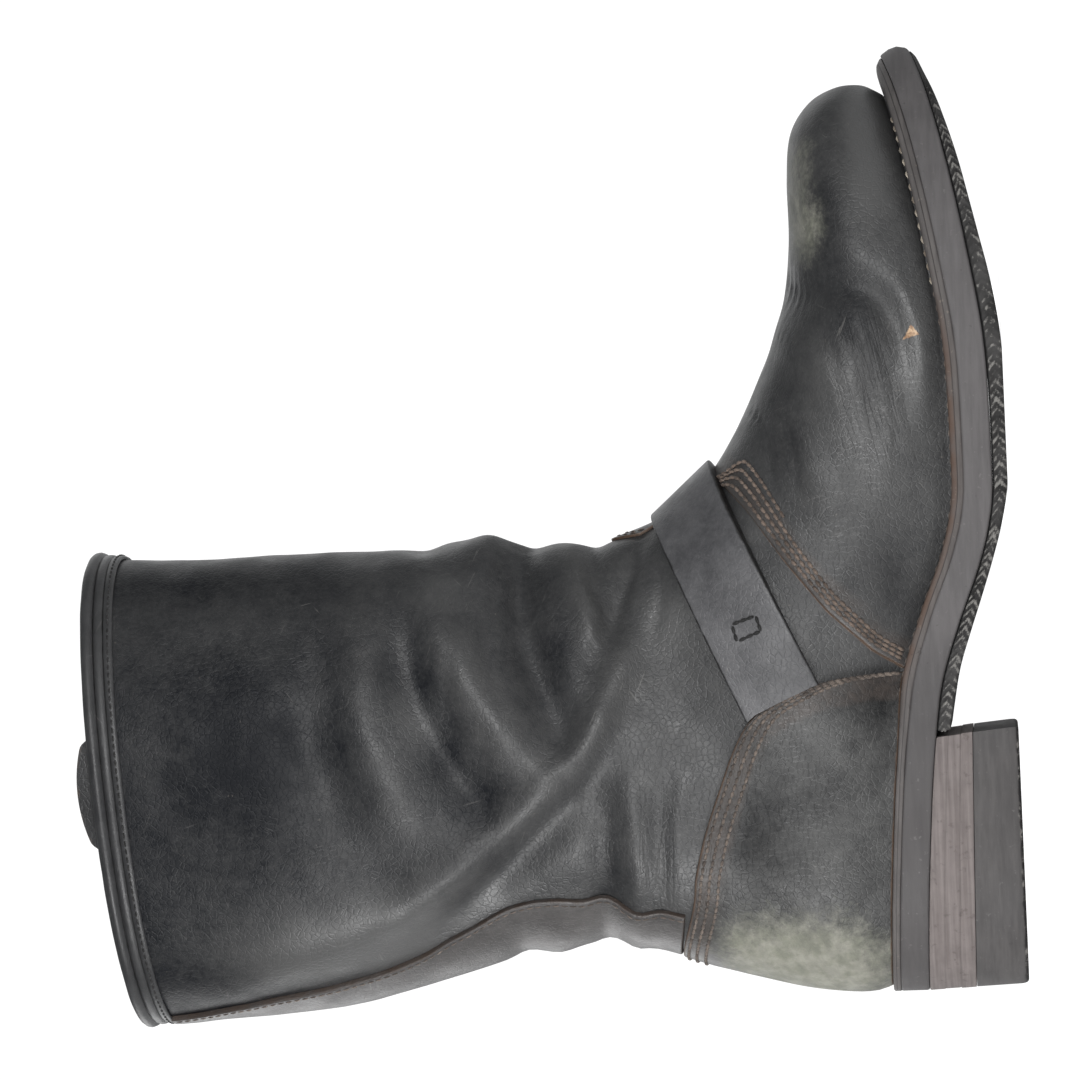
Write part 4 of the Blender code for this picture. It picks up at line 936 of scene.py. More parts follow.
def skin_index():
    index = np.zeros((len(ROWS), WIDTH), int)
    number = 2
    index[0, [0, -1]] = 1
    for i in range(1, len(ROWS)):
        if i < HEEL_AT:
            index[i] = number + np.arange(WIDTH)
            number += WIDTH
        else:
            ring = WIDTH - 3
            index[i, 1:-2] = number + np.arange(ring)
            index[i, -2] = number
            number += ring
            index[i, [0, -1]] = number if i == HEEL_AT else index[i, 1]
            number += 1 if i == HEEL_AT else 0
    return index, number


GRID = skin_grid()
INDEX, COUNT = skin_index()
SKIN = []
for i in range(len(ROWS) - 1):
    for j in range(WIDTH - 1):
        if i >= HEEL_AT and j in (0, WIDTH - 2):
            continue
        loop = [INDEX[i, j], INDEX[i + 1, j], INDEX[i + 1, j + 1],
                INDEX[i, j + 1]]
        loop = [q for n, q in enumerate(loop) if q != loop[n - 1]]
        if len(loop) > 2:
            SKIN.append([int(q) for q in loop])
TRIANGLES = np.array([(f[0], f[n], f[n + 1]) for f in SKIN
                      for n in range(1, len(f) - 1)])
LINKS = np.array(sorted({(min(a, b), max(a, b)) for f in SKIN
                         for a, b in zip(f, f[1:] + f[:1])}))


def normals_of(points):
    a, b, c = (points[TRIANGLES[:, k]] for k in range(3))
    cross = np.cross(b - a, c - a)
    total = np.zeros_like(points)
    for k in range(3):
        np.add.at(total, TRIANGLES[:, k], cross)
    total = unit(total)
    if total[INDEX[60, HALF + 1], 2] < 0:
        total = -total
    return total


def relax(values, times):
    """Evens out values over the skin's neighbours."""
    values = values.copy()
    count = np.ones(len(values))
    np.add.at(count, LINKS[:, 0], 1.0)
    np.add.at(count, LINKS[:, 1], 1.0)
    shape = (-1,) + (1,) * (values.ndim - 1)
    for _ in range(times):
        total = values.copy()
        np.add.at(total, LINKS[:, 0], values[LINKS[:, 1]])
        np.add.at(total, LINKS[:, 1], values[LINKS[:, 0]])
        values = total / count.reshape(shape)
    return values


BASE = np.zeros((COUNT, 3))
BASE[INDEX.reshape(-1)] = GRID.reshape(-1, 3)
BASE_N = normals_of(BASE)
BASE_TREE = BVHTree.FromPolygons([Vector(p) for p in BASE], SKIN)


def on_base(start, toward):
    spot = BASE_TREE.ray_cast(Vector(start), Vector(toward))[0]
    return None if spot is None else np.array(spot)


def crease_line(way, line):
    found = []
    for a, b in smooth_line(line, 2.0):
        if way in ("medial", "lateral"):
            spot = on_base((a, -2.0, b),
                           (0.0, -1.0 if way == "medial" else 1.0, 0.0))
        else:
            spot = on_base((85.0, a, b),
                           (-1.0 if way == "back" else 1.0, 0.0, 0.0))
        if spot is not None:
            found.append(spot)
    return np.array(found)


def crease_field():
    field = np.zeros(COUNT)
    for way, height, width, line in CREASES:
        path = crease_line(way, line)
        if len(path) < 3:
            continue
        reach = 2.6 * width
        pick = np.all((BASE > path.min(0) - reach)
                      & (BASE < path.max(0) + reach), axis=1)
        which = np.flatnonzero(pick)
        gap = np.linalg.norm(BASE[which, None] - path[None], axis=2)
        best = gap.argmin(1)
        t = best / (len(path) - 1.0)
        fall = np.sqrt(np.clip(np.sin(math.pi * np.clip(
            0.06 + 0.88 * t, 0, 1)), 0, 1))
        fall *= ease(1.0 - (gap.min(1) / reach))
        near = gap.min(1)
        if height > 0.0:             # rounded ridges, narrow troughs
            shape = np.exp(-(near / width)**2)
        else:
            soft = width * float(np.interp(width, (3.0, 8.0), (0.25, 0.95)))
            shape = np.exp(-(np.sqrt(near**2 + soft**2) - soft)
                           / (0.62 * width - 0.22 * soft))
        field[which] += 1.25 * height * shape * fall
    return field


STEP = np.zeros(COUNT)
step_at = np.interp(ROWS, VAMP_ROW + np.array([d for d, _ in STEP_ROWS]),
                    [v for _, v in STEP_ROWS])
step_rise = np.where(step_at > 0.0,
                     step_at * (0.35 + 0.65 * ease((ROWS - 8.6) / 2.0)) * 0.62
                     * VAMP_STEP, 0.0)
step_rise -= np.where(ROWS > VAMP_ROW, 0.38 * VAMP_STEP * (
    1.0 - ease((ROWS - VAMP_ROW - 0.1) / 1.6)), 0.0) * (1.0 - step_at)
STEP[INDEX.reshape(-1)] = np.repeat(step_rise, WIDTH)

height = BASE[:, 2] - welt_top(np.clip(BASE[:, 0], 0.0, 306.0))
hold = ease(height / 9.0) * (1.0 - ease((BASE[:, 2] - 268.0) / 18.0))
soft = ease((BASE[:, 2] - 95.0) / 60.0)
field = crease_field()
field += (0.25 + 0.75 * soft) * (0.9 * wobble(BASE, 0.021, 1)
                                 + 0.42 * wobble(BASE + 50.0, 0.055, 2))
field = field * hold + STEP * (0.45 + 0.55 * ease(height / 6.0)) * (
    1.0 - ease((BASE[:, 2] - 268.0) / 18.0))
OUTER = BASE + BASE_N * field[:, None]
OUTER_N = normals_of(OUTER)
thick_way = relax(OUTER_N, 24)
INNER = OUTER - (WALL - 0.2) * thick_way
feather = np.concatenate([INDEX[:HEEL_AT + 1, 0],
                          INDEX[1:HEEL_AT, -1][::-1]])
feather_loop = OUTER[feather][:, :2]
INNER[feather, :2] = feather_loop + (
    offset_loop(feather_loop, -WALL) - feather_loop)
INNER[feather, 2] = OUTER[feather, 2]
rim = INDEX[-1, 1:-2]
LEVEL = OUTER_N[rim].copy()
LEVEL[:, 2] = 0.0
LEVEL = unit(LEVEL)
INNER[rim] = OUTER[rim] - WALL * LEVEL

faces = list(SKIN) + [[q + COUNT for q in f][::-1] for f in SKIN]
kinds = [0] * len(SKIN) + [1] * len(SKIN)
for edge in (feather, rim):
    for n in range(len(edge)):
        a, b = int(edge[n]), int(edge[(n + 1) % len(edge)])
        faces.append([a, b, b + COUNT, a + COUNT])
        kinds.append(1)


def blot(points, x, z, reach_x, reach_z, side=-1.0):
    """Soft patch in side view, on one side or (0) on both."""
    d = ((points[:, 0] - x) / reach_x)**2 + ((points[:, 2] - z) / reach_z)**2
    on = np.ones(len(points)) if side == 0 else ease(
        0.5 + 0.08 * side * points[:, 1])
    return np.exp(-d) * on


ridge = np.clip(field / 2.4, -0.5, 1.0) * hold
ridge = np.clip(relax(ridge, 2), 0.0, 1.0)
# broad patches of painted light and shade, which also set how polished the leather is:
# x, z, reach in x and z, strength
polish_and_painted_light = sum(strength * blot(OUTER, x, z, reach_x, reach_z, 0)
             for x, z, reach_x, reach_z, strength in (
    (186, 52, 18, 11, 0.35), (206, 70, 22, 9, -0.35), (246, 52, 24, 8, -0.55),
    (215, 45, 14, 8, -0.60), (230, 66, 10, 6, -0.40), (283, 39, 14, 7, 1.10),
    (262, 38, 11, 6, 0.45), (205, 28, 15, 5, 0.75), (178, 67, 8, 6, -0.50),
    (176, 41, 12, 7, 0.40), (134, 37, 11, 6, -0.50), (152, 80, 6, 6, 0.65),
    (116, 54, 10, 9, 0.50), (125, 109, 10, 10, 0.80), (114, 144, 13, 7, -0.60),
    (114, 176, 9, 9, 0.40), (138, 182, 7, 16, 0.50), (138, 150, 7, 8, -0.35),
    (96, 192, 12, 8, 0.80), (62, 178, 12, 12, -0.40), (75, 163, 8, 8, -0.35),
    (45, 131, 14, 6, -0.55), (36, 112, 6, 8, 0.60), (22, 215, 13, 42, 1.50),
    (32, 194, 8, 20, 0.55), (82, 247, 32, 20, -0.45), (94, 234, 11, 8, -0.45),
    (129, 258, 10, 36, 0.60), (105, 189, 10, 5, -0.75), (86, 181, 9, 6, -0.75),
    (72, 172, 8, 6, -0.55), (40, 170, 8, 7, 0.45), (260, 40, 13, 7, 0.50)))
dust = (0.80 * blot(OUTER, 246, 61, 14, 9, 0) + 0.62 * blot(
    OUTER, 268, 63, 13, 9, 0) + 0.25 * blot(OUTER, 286, 50, 7, 10, 0))
cut = np.zeros(COUNT)
cut_rows = np.interp(ROWS, VAMP_ROW + np.array([-0.035, -0.017, 0.0, 0.006,
                                                0.02]),
                     [0.0, 0.5, 1.0, 0.9, 0.0])
cut[INDEX.reshape(-1)] = np.repeat(cut_rows, WIDTH)
both = lambda v: np.concatenate([v, np.zeros(COUNT)])
seam = np.zeros(COUNT)
for j in range(WIDTH):
    column = INDEX[EDGE_AT - 1::-1, j][:60]
    seam[column] = np.maximum(seam[column], ease(
        (9.6 - run_of(OUTER[column])) / 1.4))
folds = {
    "fold_a": 0.7 * blot(OUTER, 44, 119, 24, 15, 0),
    "fold_b": 0.25 * blot(OUTER, 84, 120, 20, 20, 0) + 0.2 * blot(
        OUTER, 122, 150, 26, 20, 0),
    "fold_c": blot(OUTER, 194, 42, 24, 10, 0) + 0.55 * blot(
        OUTER, 178, 70, 14, 9, 0)}
make("boot_upper", np.concatenate([OUTER, INNER]), faces, [UPPER, LINING],
     ["upper"], angle=60.0, face_stuff=kinds,
     values={"rub_and_painted_light": both(0.55 * ridge + polish_and_painted_light), "sheen": both(polish_and_painted_light),
             "dust": both(dust), "cut": both(cut),
             "seam": both(seam), **{key: both(np.clip(v, 0.0, 1.0))
                                    for key, v in folds.items()}})
TREE = BVHTree.FromPolygons([Vector(p) for p in OUTER], SKIN)
SOFT_N = relax(OUTER_N, 3)


def cast(start, toward):
    """Outer face met from inside, and the rounded normal there."""
    toward = Vector(toward).normalized()
    spot, _, face, _ = TREE.ray_cast(Vector(start), toward)
    spot = np.array(spot)
    corner = np.array(SKIN[face])
    weight = 1.0 / (np.linalg.norm(OUTER[corner] - spot, axis=1) + 0.05)
    return np.concatenate([spot, unit(weight @ SOFT_N[corner])])


def even(grid, times, axis=0):
    """Evens out a grid of places along one direction, ends kept."""
    g = np.swapaxes(grid, 0, axis).copy()
    for _ in range(times):
        g[1:-1] = (g[:-2] + 2.0 * g[1:-1] + g[2:]) / 4.0
    return np.swapaxes(g, 0, axis)


def outward(low, out, need):
    """Pushes a grid out where it dips into the upper's face."""
    low = low.copy()
    for spot in np.ndindex(low.shape[:2]):
        near, normal, _, _ = TREE.find_nearest(Vector(low[spot]))
        away = np.array(normal)
        if away @ out[spot] < 0:
            away = -away
        short = need - (low[spot] - np.array(near)) @ away
        if short > 0:
            low[spot] += out[spot] * short
    return low


# ------------------------------------------------------------------ stitches
def stitches(name, lines, stuff, pitch=3.7, length=2.7, thick=0.75,
             rise=0.35, skip=None):
    """Rows of single stitches.  Each line is (places, normals)."""
    points, faces = [], []
    turns = np.arange(6) * math.pi / 3.0
    for places, normal in lines:
        run = run_of(places)
        count = int((run[-1] - length) / pitch)
        for n in range(count + 1):
            at = 0.5 * length + 0.2 + n * pitch
            if skip is not None and skip(along(places, [at])[0]):
                continue
            t = np.linspace(0.0, 1.0, 5)
            where = along(places, at + (t - 0.5) * length)
            up = unit(along(normal, np.interp(
                at + (t - 0.5) * length, run, run_of(normal))))
            way = unit(np.gradient(where, axis=0))
            side = unit(np.cross(up, way))
            middle = where + up * (rise * np.sin(math.pi * t)[:, None] - 0.05)
            size = 0.5 * thick * (0.55 + 0.45 * np.sin(math.pi * t))
            base = len(points)
            for k in range(5):
                for a in turns:
                    points.append(middle[k] + size[k] * (
                        math.cos(a) * side[k] + 0.8 * math.sin(a) * up[k]))
            for k in range(4):
                for q in range(6):
                    r = (q + 1) % 6
                    faces.append([base + 6 * k + q, base + 6 * k + r,
                                  base + 6 * k + 6 + r, base + 6 * k + 6 + q])
            faces.append([base + q for q in range(5, -1, -1)])
            faces.append([base + 24 + q for q in range(6)])
    return make(name, np.array(points), faces, stuff, angle=80.0)


def inset_line(grid, out, distance, lift):
    """Line at a distance from the last row of a grid, lifted off it."""
    places, normal = [], []
    for j in range(grid.shape[1]):
        line = grid[::-1, j]
        if run_of(line)[-1] < distance + 0.5:
            continue
        spot = along(line, [distance])[0]
        share = np.interp(distance, run_of(line), np.arange(len(line)))
        way = out[::-1, j][int(round(share))]
        places.append(spot + way * lift)
        normal.append(way)
    return np.array(places), np.array(normal)


# vamp seam: three rows in front of the cut edge, and one behind it
vamp_lines = []
for distance in (1.9, 4.6, 7.3, 10.0):
    for columns in (range(2, HALF - 8), range(WIDTH - 3, HALF + 9, -1)):
        places, normal = [], []
        for n, j in enumerate(columns):
            line = OUTER[INDEX[EDGE_AT + 30::-1, j]][:100]
            narrow = 0.50 + 0.65 * float(ease(n / (len(columns) - 1.0)))
            hook = float(ease((n - len(columns) + 13.0) / 12.0))
            spot = along(line, [run_of(line)[33] + distance * narrow * (
                1.0 - 0.7 * hook) - 4.0 * hook])[0]
            near, way, face, _ = TREE.find_nearest(Vector(spot))
            way = unit(SOFT_N[SKIN[face]].mean(0))
            places.append(np.array(near))
            normal.append(way)
        if distance > 8.0:           # the last row starts half way up
            places, normal = places[HALF // 2:], normal[HALF // 2:]
        places = even(np.array(places), 2)
        vamp_lines.append((places, np.array(normal)))
stitches("vamp_stitches", vamp_lines, BROWN_THREAD,
         pitch=2.7, length=2.5, thick=1.25, rise=0.45)


# ----------------------------------------------------------- counter, backstay
def counter_columns(front, back):
    run = run_of(COUNTER_EDGE)
    at = np.linspace(0.0, run[-1], front + 1)
    x = hermite(run, COUNTER_EDGE[:, 0], at)
    z = hermite(run, COUNTER_EDGE[:, 1], at)
    medial = [(x[i], (0.0, -1.0), z[i]) for i in range(front)]
    lateral = [(x[i], (0.0, 1.0), z[i]) for i in range(front - 1, -1, -1)]
    turn = []
    for a in np.linspace(0.0, math.pi, 2 * back + 1):
        share = float(ease(math.sin(a)))
        turn.append((HEEL_POLE_X, (-math.sin(a), -math.cos(a)),
                     z[-1] + (COUNTER_BACK_Z - z[-1]) * share))
    return medial + turn + lateral


grid = []
shares = np.concatenate([np.linspace(0.0, 0.9, 24), [0.93, 0.955, 0.975, 1.0]])
for x0, (dx, dy), top_z in counter_columns(46, 34):
    foot = cast((x0, 0.0, float(welt_top(x0)) + 3.0), (dx, dy, 0.0))
    low_z = float(welt_top(foot[0])) + 0.25
    grid.append([cast((x0, 0.0, low_z + (max(top_z, low_z + 1.0) - low_z) * t),
                      (dx, dy, 0.0)) for t in shares])
grid = np.array(grid).swapaxes(0, 1)
counter_low = even(grid[..., :3], 2, 1)
counter_out = unit(even(grid[..., 3:], 4, 1))
counter_low = outward(counter_low + 0.15 * counter_out, counter_out, 0.12)
points, faces, wear = sheet(counter_low, counter_out, COUNTER_T + 0.2)
dust = (1.05 * blot(points, 8, 66, 17, 34, 0) + 0.40 * blot(
    points, 22, 70, 17, 26, 0) + 0.18 * blot(points, 66, 62, 30, 24, 0)
        + 0.35 * blot(points, 20, 88, 14, 12, 0))
counter_edge = (counter_low + counter_out * (COUNTER_T + 0.2))[-1]
far = np.linalg.norm(points[:, None] - counter_edge[None], axis=2).min(1)
# painted light and shade in broad patches on the counter, which also set how polished
# it is
polish_and_painted_light = (0.45 * blot(points, 87, 62, 12, 14, 0) + 0.40 * blot(
    points, 66, 46, 15, 9, 0) - 0.80 * blot(points, 53, 83, 14, 9, 0)
          - 0.70 * blot(points, 99, 43, 9, 9, 0) - 0.15 * blot(
              points, 64, 62, 10, 10, 0))
make("boot_heel_counter", points, faces, COUNTER,
     ["heel_counter"], values={"cut": wear, "dust": dust,
                               "seam": ease((9.0 - far) / 1.3),
                               "rub_and_painted_light": polish_and_painted_light, "sheen": 0.7 * polish_and_painted_light})
counter_top = counter_low + counter_out * (COUNTER_T + 0.2)
stitches("counter_stitches", [inset_line(counter_top, counter_out, d, 0.0)
                              for d in (1.9, 4.6, 7.6)],
         GREY_THREAD, pitch=2.3, length=2.1, thick=1.1)

grid = []
rim_back = float(GRID[-1, 1, 2])
for share in np.linspace(0.0, 1.0, 64):
    line = []
    for t in np.linspace(-1.0, 1.0, 25):
        low_z = COUNTER_BACK_Z + 0.9 - BACKSTAY_SAG * t * t
        z = low_z + (rim_back - 5.6 - low_z) * share
        half = float(hermite(BACKSTAY[:, 0], BACKSTAY[:, 1], z))
        line.append(cast((70.0, half * t, z), (-1.0, 0.0, 0.0)))
    grid.append(line)
grid = np.array(grid)
stay_low = even(even(grid[..., :3], 1, 0), 1, 1)
stay_out = unit(even(even(grid[..., 3:], 3, 0), 3, 1))
stay_low = outward(stay_low + 0.15 * stay_out, stay_out, 0.12)
points, faces, wear = sheet(stay_low, stay_out, BACKSTAY_T)
make("boot_backstay", points, faces, BACKSTAY_SKIN,
     ["backstay"], values={"cut": 0.8 * wear, "rub_and_painted_light": 0.3 * blot(
         points, 20, 140, 30, 30, 0), "dust": np.zeros(len(points))})
stay_top = stay_low + stay_out * BACKSTAY_T
stay_lines = []
for flip in (1, -1):
    for d in (1.7,):
        stay_lines.append(inset_line(
            stay_top[:, ::flip].swapaxes(0, 1), stay_out[:, ::flip].swapaxes(
                0, 1), d, 0.0))
stitches("backstay_stitches", stay_lines, GREY_THREAD,
         pitch=2.8, length=2.2, thick=0.55, rise=0.2)

# ------------------------------------------------------------------ binding
BINDING = np.array([                 # out from the upper's face, up from rim
    (0.25, -6.0), (0.75, -6.2), (1.2, -6.05), (1.45, -5.4), (1.5, -4.5),
    (1.4, -3.6), (1.0, -3.1), (1.4, -2.65), (1.65, -1.9), (1.65, -1.1),
    (1.45, -0.4), (1.0, 0.1), (1.5, 0.55), (2.2, 1.1), (2.55, 2.0),
    (2.4, 2.9), (1.75, 3.7), (0.55, 4.3), (-1.2, 4.5), (-2.95, 4.3),
    (-4.1, 3.6), (-4.8, 2.6), (-5.0, 1.4), (-4.8, 0.35), (-4.3, -0.5),
    (-3.95, -1.0), (-3.9, -1.7), (-3.9, -8.2), (-3.75, -8.9), (-3.3, -9.2),
    (-2.7, -9.0), (-2.65, 0.25), (0.25, 0.25)])
BINDING_GROOVES, BINDING_HIGH = (6, 11), (8, 9, 14, 15, 16, 17)
top_ring = OUTER[rim]
lower_row = int(np.argmin(np.abs(ROWS - 24.55)))
below = OUTER[INDEX[lower_row, 1:-2]]
loops = np.zeros((len(rim), len(BINDING), 3))
down = (below - top_ring) / (top_ring[:, 2] - below[:, 2])[:, None]
ripple = 0.35 * wobble(top_ring, 0.03) + 0.15 * wobble(top_ring, 0.11)
for k, (o, h) in enumerate(BINDING):
    loops[:, k] = top_ring + LEVEL * o
    if h < 0:
        loops[:, k] += down * (-h)
    else:
        loops[:, k, 2] += h + ripple * min(1.0, h / 3.0)
points = loops.reshape(-1, 3)
# painted shade darkens the binding's two grooves through the cut-edge colour, and a
# painted highlight lightens its raised rows
binding_groove_shade = np.zeros(loops.shape[:2])
binding_groove_shade[:, BINDING_GROOVES] = 1.0
make("boot_collar_binding", points, ring_faces(*loops.shape[:2]),
     BINDING_SKIN, ["collar_binding"], angle=50.0,
     values={"cut": binding_groove_shade.reshape(-1), "dust": np.zeros(len(points)),
             "rub_and_painted_light": 0.25 * np.isin(np.tile(np.arange(len(BINDING)),
                                           len(rim)), BINDING_HIGH)})
closed = lambda a: np.concatenate([a, a[:1]])
binding_lines = [(closed(top_ring + LEVEL * 1.45 + down * 4.7),
                  closed(LEVEL))]
stitches("binding_stitches", binding_lines, DARK_THREAD,
         pitch=2.6, length=1.9, thick=0.75, rise=0.22)

# ----------------------------------------------------------------- pull tab
medial_rim, medial_out = top_ring[:HALF + 1], LEVEL[:HALF + 1]
near_grid, tab_out = [], []
for t in np.linspace(-1.0, 1.0, 45):
    x = 0.5 * (TAB_FROM + TAB_TO) + 0.5 * (TAB_TO - TAB_FROM) * t
    near = np.array([np.interp(x, medial_rim[:, 0], medial_rim[:, c])
                     for c in range(3)])
    away = np.array([np.interp(x, medial_rim[:, 0], medial_out[:, c])
                     for c in range(3)])
    high = TAB_TOP - 4.5 * t * t - 9.0 * max(0.0, abs(t) - 0.7)**2 / 0.09
    low_z = -TAB_DROP + 6.0 * max(0.0, abs(t) - 0.6)**2 / 0.16
    near_grid.append([near - away * 5.2 + np.array([0.0, 0.0, h])
                      for h in np.linspace(low_z, high, 26)])
    tab_out.append([-away] * 26)
near_grid, tab_out = np.array(near_grid), unit(np.array(tab_out))
points, faces, wear = sheet(near_grid, tab_out, TAB_T - 0.2, 0.6)
make("boot_pull_tab", points, faces, TAB_SKIN,
     ["pull_tab"], values={"cut": 0.5 * wear, "dust": np.zeros(len(points)),
                           "rub_and_painted_light": np.zeros(len(points))})

# ------------------------------------------------------------- instep strap
ALONG = np.array([math.cos(STRAP_RISE), 0.0, math.sin(STRAP_RISE)])
ACROSS = np.array([-math.sin(STRAP_RISE), 0.0, math.cos(STRAP_RISE)])
SIDEWAYS = np.array([0.0, 1.0, 0.0])
OVER_GAP = 0.5


def strap_point(r, s, turn):
    angle = turn * math.pi / 2
    toward = ALONG * math.cos(angle) + SIDEWAYS * math.sin(angle)
    return cast(ALONG * r + ACROSS * s, toward)


def counter_edge_r(s):
    r = COUNTER_EDGE @ ALONG[[0, 2]]
    w = COUNTER_EDGE @ ACROSS[[0, 2]]
    keep = np.argsort(w)
    return float(np.interp(s, w[keep], r[keep]))


ACROSS_N = 15
ACROSS_AT = np.linspace(STRAP_LOW, STRAP_HIGH, ACROSS_N)


def strap_band(stations):
    return np.array([[strap_point(
        counter_edge_r(s) + 1.1 if r is None else r, s, turn)
        for s in ACROSS_AT] for r, turn in stations])


def tail_lift(r):
    up = ease((161.1 - r) / 16.0)
    down = ease((137.3 - r) / 8.0)
    return OVER_GAP + 7.6 * up - 3.9 * down


front = [(None, -1.0)] + [(r, -1.0) for r in np.linspace(
    115.2, STRAP_POLE, 18)]
front += [(STRAP_POLE, t) for t in np.linspace(-1.0, 1.0, 63)[1:]]
TAIL_R = np.linspace(STRAP_POLE, TAIL_TIP, 53)[1:]
band = strap_band(front + [(r, 1.0) for r in TAIL_R])
strap_grid, strap_out = band[..., :3], band[..., 3:]
strap_grid = even(even(strap_grid, 6, 0), 2, 1)
strap_out = unit(even(even(strap_out, 10, 0), 3, 1))
turns = np.array([t for _, t in front] + [1.0] * len(TAIL_R))
flat = ease((0.62 - np.abs(turns)) / 0.35)[:, None, None]
share = np.linspace(0.0, 1.0, ACROSS_N)[None, :, None]
chord = strap_grid[:, :1] * (1.0 - share) + strap_grid[:, -1:] * share
strap_grid = strap_grid + flat * (chord - strap_grid)
strap_out = unit(strap_out + flat * (strap_out.mean(1, keepdims=True)
                                     - strap_out))
tip = strap_grid[:, ACROSS_N // 2] @ ALONG
for i in range(len(front), len(strap_grid)):
    for j in range(ACROSS_N):
        t = abs(j - ACROSS_N // 2) / (ACROSS_N // 2)
        strap_grid[i, j] += ALONG * 9.0 * t * t * float(
            ease((109.8 - tip[i]) / 10.0))
lift = np.where(strap_grid[..., 1] > 0.0, tail_lift(strap_grid @ ALONG),
                OVER_GAP)
strap_low = outward(strap_grid + lift[..., None] * strap_out, strap_out, 0.15)
points, faces, wear = sheet(strap_low, strap_out, STRAP_T, 0.8)
strap_high = strap_low + STRAP_T * strap_out
# the strap is lighter all over, and darker in two patches
make("boot_strap", points, faces, STRAP_SKIN, ["strap"],
     values={"cut": wear, "dust": np.zeros(len(points)),
             "rub_and_painted_light": 0.25 - 0.90 * blot(points, 110, 73, 13, 10, 0)
             - 0.70 * blot(points, 150, 101, 14, 12, 0)})

chape = [(None, 1.0)] + [(r, 1.0) for r in np.linspace(
    116.1, CHAPE_END, 14)]
band = strap_band(chape)
chape_out = unit(even(band[..., 3:], 4, 0))
chape_low = outward(even(band[..., :3], 2, 0) + OVER_GAP * chape_out,
                    chape_out, 0.15)
points, faces, wear = sheet(chape_low, chape_out, STRAP_T, 0.7)
make("boot_strap_chape", points, faces, STRAP_SKIN,
     ["strap_chape"], values={"cut": wear, "dust": np.zeros(len(points)),
                              "rub_and_painted_light": np.zeros(len(points))})

# small stitched square on the strap's inner side
box_corners = np.array([(122.9, 88.6), (125.4, 80.9), (120.5, 79.5),
                        (117.4, 87.2), (122.9, 88.6)])
STRAP_TREE = BVHTree.FromPolygons(
    [Vector(p) for p in strap_high.reshape(-1, 3)],
    grid_faces(*strap_high.shape[:2]))
box_lines = []
for one, two in zip(box_corners[:-1], box_corners[1:]):
    places, normal = [], []
    for t in np.linspace(0.0, 1.0, 9):
        x, z = one + (two - one) * t
        spot, way, _, _ = STRAP_TREE.ray_cast(Vector((x, -90.0, z)),
                                              Vector((0.0, 1.0, 0.0)))
        places.append(np.array(spot))
        way = np.array(way)
        normal.append(way if way[1] < 0 else -way)
    box_lines.append((np.array(places), np.array(normal)))
stitches("strap_box_stitches", box_lines, DARK_THREAD,
         pitch=2.45, length=2.45, thick=1.25, rise=0.30)

# -------------------------------------------------- tongue above the strap
tongue = []
for a in np.linspace(-1.0, 1.0, 41):
    high = STRAP_HIGH + 1.5 + 14.5 * math.sqrt(max(0.0, 1.0 - abs(a)**2.3))
    tongue.append([cast(ALONG * 120.0 + ACROSS * s
                        + SIDEWAYS * (8.5 * a + 1.2), ALONG)
                   for s in np.linspace(STRAP_HIGH - 5.0, high, 26)])
tongue = np.array(tongue)
tongue_low, tongue_out = tongue[..., :3], unit(even(tongue[..., 3:], 3, 1))
tongue_low = outward(tongue_low + 0.05 * tongue_out, tongue_out, 0.04)
points, faces, wear = sheet(tongue_low, tongue_out, 0.9, 0.4)
make("boot_tongue_tip", points, faces, UPPER,
     values={"cut": wear, "dust": np.zeros(len(points)),
             "rub_and_painted_light": np.zeros(len(points))})
tongue_top = tongue_low + tongue_out * 0.9
tongue_lines = []
for d in (2.4, 5.2):
    places, normal = inset_line(tongue_top.swapaxes(0, 1),
                                tongue_out.swapaxes(0, 1), d, 0.0)
    keep = places @ ACROSS > STRAP_HIGH + 0.6
    tongue_lines.append((places[keep], normal[keep]))
stitches("tongue_stitches", tongue_lines, BROWN_THREAD,
         pitch=3.2, length=2.3, thick=0.6, rise=0.15,
         skip=lambda p: p[1] < -6.0)

# ------------------------------------------------------------------- buckle
MID_S = 0.5 * (STRAP_LOW + STRAP_HIGH)
HALF_STRAP = 0.5 * (STRAP_HIGH - STRAP_LOW)
centre = strap_point(BUCKLE_MID, MID_S, 1.0)[:3]
fore = strap_point(BUCKLE_MID + 10.0, MID_S, 1.0)[:3]
aft = strap_point(BUCKLE_MID - 10.0, MID_S, 1.0)[:3]
high_side = strap_point(BUCKLE_MID, MID_S + 10.0, 1.0)[:3]
low_side = strap_point(BUCKLE_MID, MID_S - 10.0, 1.0)[:3]
a_axis = unit(fore - aft)
n_axis = unit(np.cross(high_side - low_side, a_axis))
n_axis = n_axis if n_axis[1] > 0 else -n_axis
b_axis = np.cross(n_axis, a_axis)


def level_at(points, where, spread, pick):
    p = points.reshape(-1, 3) - centre
    near = (np.abs(p @ a_axis - where) < spread) & (p @ n_axis > -8.0)
    return float(pick((p @ n_axis)[near]))


front_at, back_at = 0.5 * BUCKLE_LENGTH, -0.5 * BUCKLE_LENGTH
lateral_rows = slice(58, None)
front_h = level_at(strap_high[58:96], front_at, 4.0, np.max) + 0.3 + WIRE_R
back_h = level_at(strap_low[84:], back_at, 3.0, np.min) - 0.25 - WIRE_R


def buckle_place(a, b, h):
    base = front_h + (back_h - front_h) * (front_at - a) / BUCKLE_LENGTH
    return centre + a_axis * a + b_axis * b + n_axis * (base + h)


